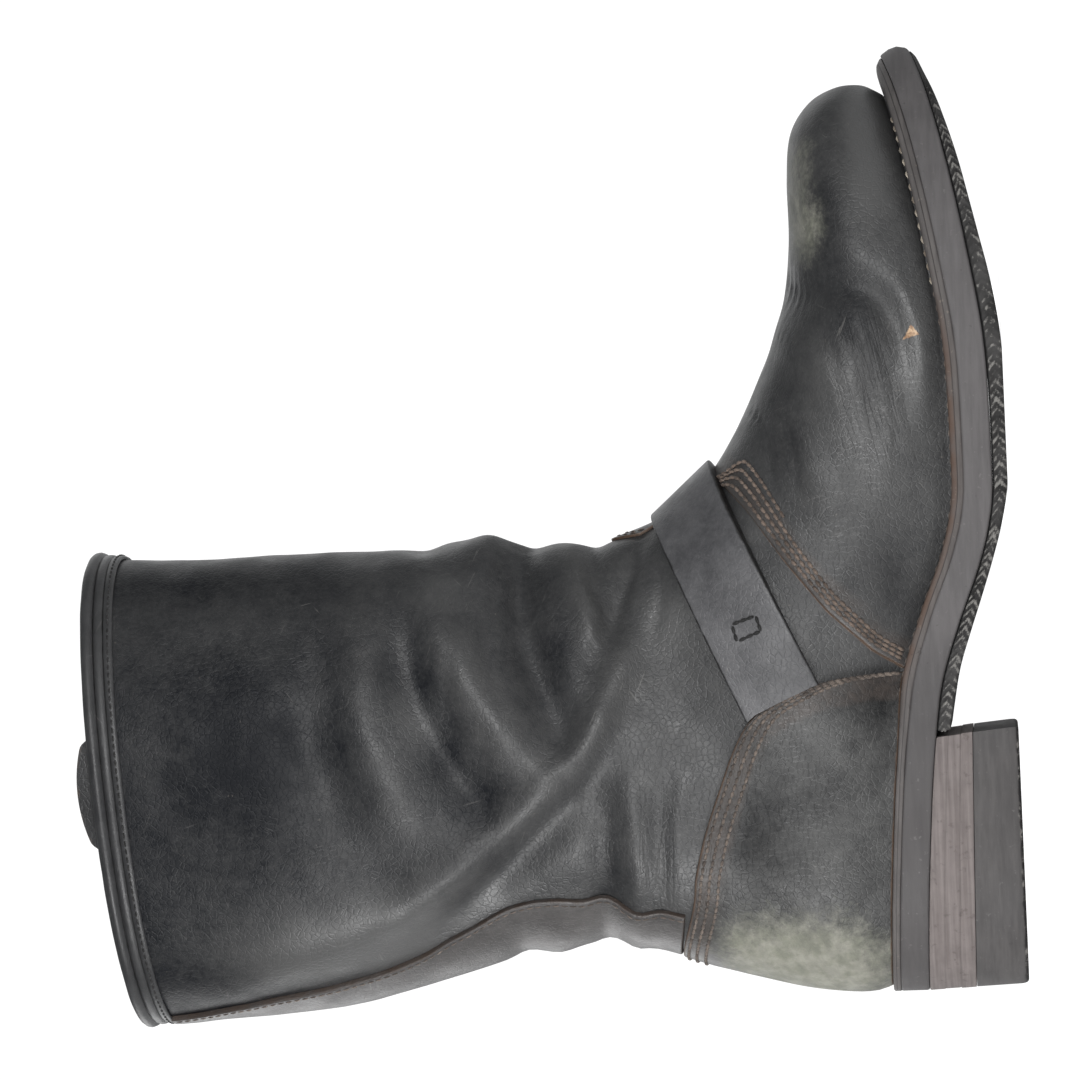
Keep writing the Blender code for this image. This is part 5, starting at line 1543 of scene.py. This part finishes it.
half_a, half_b, corner = 0.5 * BUCKLE_LENGTH, HALF_STRAP + 1.4 + WIRE_R, 4.0
path = []
for ca, cb, first in ((1, 1, 0), (-1, 1, 1), (-1, -1, 2), (1, -1, 3)):
    for k in range(9):
        turn = (first + k / 8.0) * math.pi / 2
        path.append((ca * (half_a - corner) + corner * math.cos(turn),
                     cb * (half_b - corner) + corner * math.sin(turn)))
    path.append(None)
spread_path = []
for n, spot in enumerate(path):
    if spot is None:
        one, two = path[n - 1], path[(n + 1) % len(path)]
        for t in (0.2, 0.4, 0.6, 0.8):
            spread_path.append((one[0] + (two[0] - one[0]) * t,
                                one[1] + (two[1] - one[1]) * t))
    else:
        spread_path.append(spot)
path = np.array(spread_path)
ahead = unit(np.roll(path, -1, 0) - np.roll(path, 1, 0))
loops = np.array([[buckle_place(
    a + tb * WIRE_R * math.cos(t), b - ta * WIRE_R * math.cos(t),
    WIRE_R * math.sin(t)) for t in 2.0 * math.pi * np.arange(16) / 16.0]
    for (a, b), (ta, tb) in zip(path, ahead)])
make("boot_buckle_frame", loops.reshape(-1, 3), ring_faces(*loops.shape[:2]),
     STEEL, ["buckle_frame"], angle=80.0)

prong = []
start_a = 0.5
start_h = level_at(strap_high[70:100], start_a, 3.0, np.max)
for t in np.linspace(0.0, 1.0, 22):
    a = start_a + (half_a + 2.6 - start_a) * t
    bar = float(np.dot(buckle_place(a, 0.0, WIRE_R + 0.25) - centre, n_axis))
    rise = ease(t / 0.45)
    base = (start_h - 0.6) * (1.0 - rise) + max(start_h + 0.2, bar) * rise
    base -= 1.0 * float(ease((t - 0.88) / 0.12))
    half, tall = 1.75 - 0.45 * t, 2.3 - 0.7 * t
    prong.append([centre + a_axis * a + b_axis * half * math.cos(q)
                  + n_axis * (base + 0.5 * tall + 0.5 * tall * math.sin(q))
                  for q in 2.0 * math.pi * np.arange(12) / 12.0])
prong = np.array(prong)
m, k = prong.shape[:2]
faces = []
for i in range(m - 1):
    for j in range(k):
        faces.append([i * k + j, i * k + (j + 1) % k,
                      (i + 1) * k + (j + 1) % k, (i + 1) * k + j])
faces += [list(range(k)), [(m - 1) * k + j for j in range(k)]]
make("boot_buckle_prong", prong.reshape(-1, 3), faces, STEEL,
     ["buckle_prong"], angle=60.0)

# keeper: a leather bridge over the tail and the chape
tail_top = strap_high[len(front):]
bridge, bridge_out = [], []
for r in np.linspace(KEEPER_FROM, KEEPER_TO, 7):
    row = np.array([[np.interp(-r, -TAIL_R, tail_top[:, j, c])
                     for c in range(3)] for j in range(ACROSS_N)])
    row = row + n_axis * 0.35
    for end, s in ((0, -1.0), (ACROSS_N - 1, 1.0)):
        edge = STRAP_LOW if s < 0 else STRAP_HIGH
        foot = strap_point(r, edge + s * 0.9, 1.0)
        foot = foot[:3] + foot[3:] * 0.4
        beside = row[end] + ACROSS * s * 0.9 - n_axis * 0.5
        legs = np.array([foot + (beside - foot) * t
                         for t in np.linspace(0.0, 1.0, 6)])
        row = np.concatenate([legs, row]) if s < 0 else np.concatenate(
            [row, legs[::-1]])
    bridge.append(row)
bridge = np.array(bridge)
mid = even(bridge, 1, 1)
side = unit(np.gradient(mid, axis=1))
bridge_out = unit(np.cross(unit(np.gradient(mid, axis=0)), side))
if np.mean(bridge_out[:, ACROSS_N // 2 + 6] @ n_axis) < 0:
    bridge_out = -bridge_out
points, faces, wear = sheet(mid, bridge_out, KEEPER_T, 0.4)
make("boot_strap_keeper", points, faces, STRAP_SKIN,
     ["strap_keeper"], values={"cut": wear, "dust": np.zeros(len(points)),
                               "rub_and_painted_light": np.zeros(len(points))})

# --------------------------------------------------------- sole, welt, insole
stations = PLAN[0, 0] + (PLAN[-1, 0] - PLAN[0, 0]) * 0.5 * (
    1.0 + np.cos(np.linspace(0.0, math.pi, 121)))
both_x = np.concatenate([stations, stations[1:-1][::-1]])
side = np.concatenate([-np.ones(len(stations)), np.ones(len(stations) - 2)])
SOLE_LOOP = np.stack([sole_x(both_x), plan_axis(both_x)
                      + side * plan_half(both_x, 3)], 1)
FEATHER_LOOP = np.stack([both_x, plan_axis(both_x)
                         + side * plan_half(both_x)], 1)


def cap(loop, across, heights, pair):
    """Grid that fills an outline: rows join mirrored stations."""
    n = len(loop)
    rows = []
    for i in range(pair[0], pair[1]):
        a, b = loop[i], loop[(pair[2] - i) % n]
        rows.append([a + (b - a) * t for t in np.linspace(0.0, 1.0, across)])
    grid = np.array(rows)
    flat = grid.reshape(-1, grid.shape[-1])
    flat[:, 2] = heights(flat)
    return flat.reshape(grid.shape)


def stacked(name, levels, bottom, top, pair, stuff, stands_for,
            values, across=13, angle=42.0, open_back=False):
    """Solid from outlines (lowest to highest) closed by two caps.  levels:
    list of (loop with z, marks for the level or for each point)."""
    loops = np.array([loop for loop, _ in levels])
    m, n = loops.shape[:2]
    points = [loops.reshape(-1, 3)]
    marks = [np.concatenate([np.broadcast_to(
        np.asarray(v, float).reshape(-1, len(values)), (n, len(values)))
        for _, v in levels])]
    faces = []
    at = np.arange(m * n).reshape(m, n)
    for i in range(m - 1):
        for j in range(n):
            faces.append([at[i, j], at[i, (j + 1) % n],
                          at[i + 1, (j + 1) % n], at[i + 1, j]])
    base = m * n
    for level, heights in ((0, bottom), (-1, top)):
        grid = cap(loops[level], across, heights, pair)
        for i in range(grid.shape[0]):
            grid[i, 0] = loops[level][(i + pair[0])]
            grid[i, -1] = loops[level][(pair[2] - i - pair[0]) % n]
        if pair[0] == 0 or open_back:
            row = -1 if open_back else 0
            one, two = grid[row, 0].copy(), grid[row, -1].copy()
            for j in range(across):
                grid[row, j] = one + (two - one) * j / (across - 1.0)
        faces += grid_faces(*grid.shape[:2], base, level == 0)
        ends = [(0, 0)] if pair[0] == 1 else []
        if pair[0] == 1 and not open_back:
            ends.append((grid.shape[0] - 1, n // 2))
        for row, single in ends:
            line = base + row * across
            tip = at[0 if level == 0 else m - 1, single]
            for j in range(across - 1):
                faces.append([tip, line + j, line + j + 1])
        points.append(grid.reshape(-1, 3))
        fill = np.asarray(levels[level][1], float).reshape(-1, len(values))
        marks.append(np.broadcast_to(fill.mean(0), (
            grid.shape[0] * across, len(values))))
        base += grid.shape[0] * across
    points, marks = np.concatenate(points), np.concatenate(marks)
    return make(name, points, faces, stuff, stands_for, angle,
                {key: marks[:, c] for c, key in enumerate(values)})


def raise_loop(loop, heights):
    return np.column_stack([loop, heights])


half_n = len(stations)
sole_pair = (1, half_n - 1, len(SOLE_LOOP))
ragged = wobble(np.column_stack([SOLE_LOOP, 0.0 * both_x]), 0.3, 2)
levels = []
for inset, share, groove_shade in (
        (0.55, 0.0, 0.9), (0.15, 0.03, 0.4), (0.0, 0.09, 0.0),
        (0.0, 0.35, 0.0), (0.0, 0.65, 0.0), (0.0, 0.92, 0.0),
        (0.06, 0.985, 0.15), (0.2, 1.0, 0.45)):
    loop = offset_loop(SOLE_LOOP, -inset - 0.10 * ragged)
    tip_round = ease((SOLE_LOOP[:, 0] - 284.0) / 20.0)
    if share < 0.2:
        loop = offset_loop(loop, -0.9 * tip_round * (0.2 - share) / 0.2)
    loop = offset_loop(loop, -tip_round * float(np.interp(
        share, (0.35, 0.65, 0.92, 1.0), (0.0, 0.8, 2.2, 2.7))))
    z = sole_bottom(loop[:, 0]) * (1.0 - share) + sole_top(loop[:, 0]) * share
    dark = groove_shade * (ease((loop[:, 0] - 84.0) / 6.0) if share < 0.2 else 1.0)
    levels.append((raise_loop(loop, z), np.column_stack(
        [np.zeros(len(loop)), dark * np.ones(len(loop))])))
stacked("boot_midsole", levels, lambda p: sole_bottom(p[:, 0]),
        lambda p: sole_top(p[:, 0]), sole_pair, MIDSOLE,
        ["midsole"], ("rough", "groove_shade"))

# rubber half sole: its edge is cut into slanting cords, like a rope
edge_x = sole_x(stations)
edge_side = np.stack([edge_x, plan_axis(stations)
                      - plan_half(stations, 3)], 1)
edge_side = edge_side[edge_x > TREAD_BACK]
back = feather_x(TREAD_BACK)
edge_side = np.concatenate([edge_side, [[TREAD_BACK, plan_axis(back)
                                         - plan_half(back, 3)]]])
total = run_of(edge_side)[-1]
edge_side = along(edge_side, np.linspace(0.0, total, int(total / 0.62)))
middle_y = plan_axis(feather_x(edge_side[:, 0]))
other_side = np.stack([edge_side[:, 0], 2.0 * middle_y - edge_side[:, 1]], 1)
TREAD_LOOP = np.concatenate([edge_side, other_side[:0:-1]])
tread_run = np.concatenate([run_of(edge_side), -run_of(other_side)[:0:-1]])
tread_n = len(edge_side)
worn = 0.5 + 0.5 * wobble(np.column_stack([TREAD_LOOP, 0 * TREAD_LOOP[:, 0]]),
                          0.02, 2)
worn = np.clip(0.35 + 1.1 * worn, 0.25, 1.0) * ease(
    (302.0 - TREAD_LOOP[:, 0]) / 10.0)
levels = []
for inset, share, slant in (
        (1.9, 0.0, None), (0.9, 0.03, 0.0), (0.35, 0.10, 0.35),
        (0.10, 0.22, 0.8), (0.0, 0.36, 1.4), (0.0, 0.50, 2.0),
        (0.0, 0.62, 1.4), (0.05, 0.74, 0.8), (0.20, 0.85, 0.2),
        (0.55, 0.94, None), (1.1, 1.0, None)):
    cord = np.zeros(len(TREAD_LOOP)) if slant is None else 0.5 - 0.5 * np.cos(
        2.0 * math.pi * (tread_run / 2.9 + 0.42 * slant))
    depth = 0.0 if slant is None else 0.85 * (1.0 - cord) * worn
    tip_round = ease((TREAD_LOOP[:, 0] - 270.0) / 34.0)
    loop = offset_loop(TREAD_LOOP, -inset - tip_round * (
        3.4 - 2.2 * share))
    if slant is not None:
        loop = loop + (offset_loop(TREAD_LOOP, -1.0) - TREAD_LOOP) \
            * depth[:, None]
    at_x = loop[:, 0]
    z = tread_bottom(at_x) * (1.0 - share) + (sole_bottom(at_x) - 0.05) * share
    levels.append((raise_loop(loop, z), np.column_stack(
        [cord * worn, np.full(len(loop), 1.0 if share > 0.9 else 0.0)])))
stacked("boot_outsole", levels, lambda p: tread_bottom(p[:, 0]),
        lambda p: sole_bottom(p[:, 0]) - 0.05,
        (1, tread_n, len(TREAD_LOOP)), OUTSOLE, ["outsole"],
        ("cord", "groove_shade"), open_back=True, angle=55.0)

hole = offset_loop(FEATHER_LOOP, GAP + 0.05)
welt_rows = []
for share, up, groove_shade, tint in (
        (0.0, -0.1, 0.0, 0.1), (0.95, -0.1, 0.5, 0.1), (0.99, 0.0, 0.25, 0.1),
        (1.0, 0.08, 0.0, 0.1), (1.0, 0.40, 0.0, 0.2), (0.985, 0.47, 0.9, 0.5),
        (1.0, 0.54, 0.0, 0.8), (1.0, 0.72, 0.0, 1.0), (0.97, 0.90, 0.0, 1.0),
        (0.90, 1.0, 0.0, 1.0), (0.68, 1.04, 0.0, 0.7), (0.60, 0.86, 0.6, 0.5),
        (0.48, 0.86, 0.6, 0.5), (0.40, 1.04, 0.0, 0.7), (0.14, 1.0, 0.4, 0.7),
        (0.0, 0.9, 1.0, 0.5)):
    tip_round = ease((SOLE_LOOP[:, 0] - 280.0) / 22.0)
    worn_back = np.interp(up, (0.0, 0.5, 0.72, 0.9, 1.0), (
        0.22, 0.33, 0.40, 0.49, 0.56)) if share > 0.7 else 0.56
    share = share * (1.0 - tip_round * worn_back)
    spot = hole + (SOLE_LOOP - hole) * np.reshape(share, (-1, 1))
    z = feather_z(spot[:, 0]) + welt_thickness(spot[:, 0]) * up
    welt_rows.append((raise_loop(spot, z), groove_shade, tint))
loops = np.array([row for row, _, _ in welt_rows]).swapaxes(0, 1)
groove_shade = np.tile([g for _, g, _ in welt_rows], len(loops))
tint = np.tile([t for _, _, t in welt_rows], len(loops))
welt_x = loops.reshape(-1, 3)[:, 0]
brown = tint * (1.0 - ease((welt_x - 190.0) / 50.0)) * ease(
    (welt_x - 84.0) / 30.0)
make("boot_welt", loops.reshape(-1, 3), ring_faces(*loops.shape[:2]), WELT,
     ["welt"], angle=45.0,
     values={"groove_shade": groove_shade, "rough": np.zeros(len(groove_shade)),
             "brown": brown})
tip_round = ease((SOLE_LOOP[:, 0] - 280.0) / 22.0)
spot = hole + (SOLE_LOOP - hole) * (0.54 * (1.0 - 0.56 * tip_round))[:, None]
line = raise_loop(spot, feather_z(spot[:, 0])
                  + welt_thickness(spot[:, 0]) * 0.95)
line = np.concatenate([line, line[:1]])
up = np.tile([0.0, 0.0, 1.0], (len(line), 1))
stitches("welt_stitches", [(line, up)], PALE_THREAD,
         pitch=4.4, length=3.0, thick=1.15, rise=0.62,
         skip=lambda p: not (226.0 if p[1] < 0.0 else 104.0) < p[0] < 281.0)
stitches("welt_stitches_dirty", [(line, up)], GREY_THREAD,
         pitch=4.4, length=3.0, thick=1.0, rise=0.35,
         skip=lambda p: p[0] < 104.0 or p[0] >= 226.0 or p[1] >= 0.0)

board = offset_loop(FEATHER_LOOP, -(WALL + GAP + 0.3))
base = feather_z(board[:, 0]) + 0.05
levels = [(raise_loop(offset_loop(board, -inset), feather_z(
    offset_loop(board, -inset)[:, 0]) + h), (0.0,))
    for inset, h in ((0.6, 0.05), (0.0, 0.6), (0.0, 2.9), (0.3, 3.3),
                     (0.9, 3.5))]
stacked("boot_insole", levels, lambda p: feather_z(p[:, 0]) + 0.05,
        lambda p: feather_z(p[:, 0]) + 3.5, sole_pair, INSOLE,
        ["insole"], ("groove_shade",), across=9)


# --------------------------------------------------------------------- heel
def heel_outline(breast, inset, count=46):
    t = np.linspace(0.0, math.pi / 2, count)
    x = HEEL_BACK + inset + (breast - HEEL_BACK - inset) * (1.0 - np.cos(t))
    at = feather_x(HEEL_BACK + (x - HEEL_BACK - inset)
                   * (breast - HEEL_BACK) / (breast - HEEL_BACK - inset))
    half = np.maximum(plan_half(at, 3) - inset * ease(
        (x - HEEL_BACK) / 8.0), 0.0)
    axis_y = plan_axis(at)
    medial = np.stack([x, axis_y - half], 1)[::-1]
    lateral = np.stack([x, axis_y + half], 1)[1:]
    return np.concatenate([medial, lateral])


def lift_top(x):
    return LIFT_BACK + (LIFT_BREAST - LIFT_BACK) * np.asarray(x) / BREAST_TOP


def heel_level(low_h, high_h, share, inset):
    """Outline at a share of the way up one heel layer."""
    middle = heel_outline(0.5 * (BREAST_TOP + BREAST_FLOOR), 0.5 * HEEL_TAPER)
    if low_h == "floor":
        one = heel_outline(BREAST_FLOOR, HEEL_TAPER)
        one_z, two, two_z = np.zeros(len(one)), middle, lift_top(middle[:, 0])
    else:
        two = heel_outline(BREAST_TOP, 0.0)
        one, one_z = middle, lift_top(middle[:, 0]) + 0.15
        two_z = sole_bottom(two[:, 0]) - 0.12
    loop = one + (two - one) * share
    return raise_loop(offset_loop(loop, -inset) if inset else loop,
                      one_z + (two_z - one_z) * share)


heel_count = 2 * 46 - 1
heel_pair = (0, 46, heel_count - 1)
levels = []
for share, inset, rough, groove_shade in (
        (0.0, 1.1, 0.9, 0.0), (0.02, 0.5, 0.8, 0.0), (0.06, 0.12, 0.42, 0.0),
        (0.13, 0.0, 0.05, 0.0), (0.5, 0.0, 0.0, 0.0), (0.9, 0.0, 0.0, 0.0),
        (0.985, 0.02, 0.0, 0.0), (0.998, 0.08, 0.0, 0.2), (1.0, 0.3, 0.0, 0.5)):
    levels.append((heel_level("floor", None, share, inset), (rough, groove_shade)))
stacked("boot_heel_top_lift", levels, lambda p: np.zeros(len(p)),
        lambda p: lift_top(p[:, 0]), heel_pair, LIFT,
        ["heel_top_lift"], ("rough", "groove_shade"))
levels = []
LAYERS = 3
for n in range(LAYERS):
    first = 0.5 if n == 0 else 0.22
    for share, inset, groove_shade in ((0.0, 0.10, first),
                                 (0.04, 0.06, 0.5 * first),
                                 (0.10, 0.0, 0.0), (0.5, 0.0, 0.0),
                                 (0.90, 0.0, 0.0), (0.96, 0.06, 0.15)):
        loop = heel_level("lift", None, (n + share) / LAYERS, inset)
        jog = (0.10, -0.06, 0.04)[n]
        loop[:, :2] = offset_loop(loop[:, :2], jog)
        levels.append((loop, (groove_shade,)))
levels.append((heel_level("lift", None, 1.0, 0.15), (0.4,)))
stacked("boot_heel_stack", levels, lambda p: lift_top(p[:, 0]) + 0.15,
        lambda p: sole_bottom(p[:, 0]) - 0.12, heel_pair, STACK,
        ["heel_stack"], ("groove_shade",))

# ------------------------------------------------------ floor, light, camera
floor_mesh = bpy.data.meshes.new("floor")
floor_mesh.from_pydata([(-8, -8, 0), (8, -8, 0), (8, 8, 0), (-8, 8, 0)], [],
                       [(0, 1, 2, 3)])
floor = bpy.data.objects.new("floor", floor_mesh)
bpy.context.scene.collection.objects.link(floor)
paper = bpy.data.materials.new("pale_floor")
paper.use_nodes = True
paper.node_tree.nodes["Principled BSDF"].inputs[
    "Base Color"].default_value = (0.93, 0.93, 0.93, 1.0)
paper.node_tree.nodes["Principled BSDF"].inputs[
    "Roughness"].default_value = 0.9
paper.node_tree.nodes["Principled BSDF"].inputs[
    "Specular IOR Level"].default_value = 0.1
paper.node_tree.nodes["Principled BSDF"].inputs[
    "Emission Color"].default_value = (1.0, 1.0, 1.0, 1.0)
glow_nodes, glow_links = paper.node_tree.nodes, paper.node_tree.links
glow = glow_nodes.new("ShaderNodeMapRange")    # paper lit from the far side
glow.inputs["To Min"].default_value = 0.12
glow.inputs["To Max"].default_value = 0.86
glow_links.new(glow_nodes.new("ShaderNodeLightPath").outputs["Is Camera Ray"],
               glow.inputs["Value"])
glow_links.new(glow.outputs[0], glow_nodes["Principled BSDF"].inputs[
    "Emission Strength"])
floor_mesh.materials.append(paper)

world = bpy.data.worlds.new("studio")
bpy.context.scene.world = world
world.use_nodes = True
nodes, links = world.node_tree.nodes, world.node_tree.links
room = nodes["Background"]           # dim room round the boot
room.inputs["Color"].default_value = (0.95, 0.98, 1.0, 1.0)
room.inputs["Strength"].default_value = 0.27
sweep = nodes.new("ShaderNodeBackground")   # white paper behind it
sweep.inputs["Color"].default_value = (1.0, 1.0, 1.0, 1.0)
sweep.inputs["Strength"].default_value = 1.1
seen, either = nodes.new("ShaderNodeLightPath"), nodes.new("ShaderNodeMixShader")
links.new(seen.outputs["Is Camera Ray"], either.inputs[0])
links.new(room.outputs[0], either.inputs[1])
links.new(sweep.outputs[0], either.inputs[2])
links.new(either.outputs[0], nodes["World Output"].inputs["Surface"])


def soft_box(name, spot, aim, size, power):
    lamp = bpy.data.lights.new(name, "AREA")
    lamp.shape = "RECTANGLE"
    lamp.size, lamp.size_y = size
    lamp.energy = power
    thing = bpy.data.objects.new(name, lamp)
    bpy.context.scene.collection.objects.link(thing)
    spot, aim = Vector(spot), Vector(aim)
    thing.location = spot
    thing.rotation_mode = "QUATERNION"
    thing.rotation_quaternion = (aim - spot).to_track_quat("-Z", "Y")


soft_box("key", (-0.50, -0.60, 0.10), (0.02, 0.0, 0.07), (0.30, 0.18), 2.8)
soft_box("shaft", (0.30, -0.85, 0.30), (0.0, 0.0, 0.20), (0.24, 0.24), 0.6)
soft_box("front", (0.10, -1.10, 0.08), (0.02, 0.0, 0.08), (0.26, 0.15), 4.3)
soft_box("heel_side", (-1.05, 0.75, 0.45), (-0.06, 0.0, 0.15), (1.0, 0.7), 5.5)
soft_box("behind", (0.7, 1.4, 0.75), (0.0, 0.0, 0.12), (1.8, 1.2), 6.0)

ROLL = math.radians(2.5)
FRAME_MM = 348.0                     # height of the picture at the boot
camera_data = bpy.data.cameras.new("camera")
camera = bpy.data.objects.new("camera", camera_data)
bpy.context.scene.collection.objects.link(camera)
spot = Vector((-0.008, -1.45, 0.004))
aim = Vector((0.0, -0.02, 0.1505))
ahead = (aim - spot).normalized()
right = ahead.cross(Vector((math.cos(ROLL), 0.0, -math.sin(ROLL)))).normalized()
up = right.cross(ahead)
camera.matrix_world = Matrix((
    (right.x, up.x, -ahead.x, spot.x), (right.y, up.y, -ahead.y, spot.y),
    (right.z, up.z, -ahead.z, spot.z), (0.0, 0.0, 0.0, 1.0)))
camera_data.sensor_width = 36.0
camera_data.lens = 36.0 * (aim - spot).length / (FRAME_MM * MM)
camera_data.clip_start, camera_data.clip_end = 0.05, 40.0
bpy.context.scene.camera = camera
bpy.context.scene.view_settings.view_transform = "Standard"
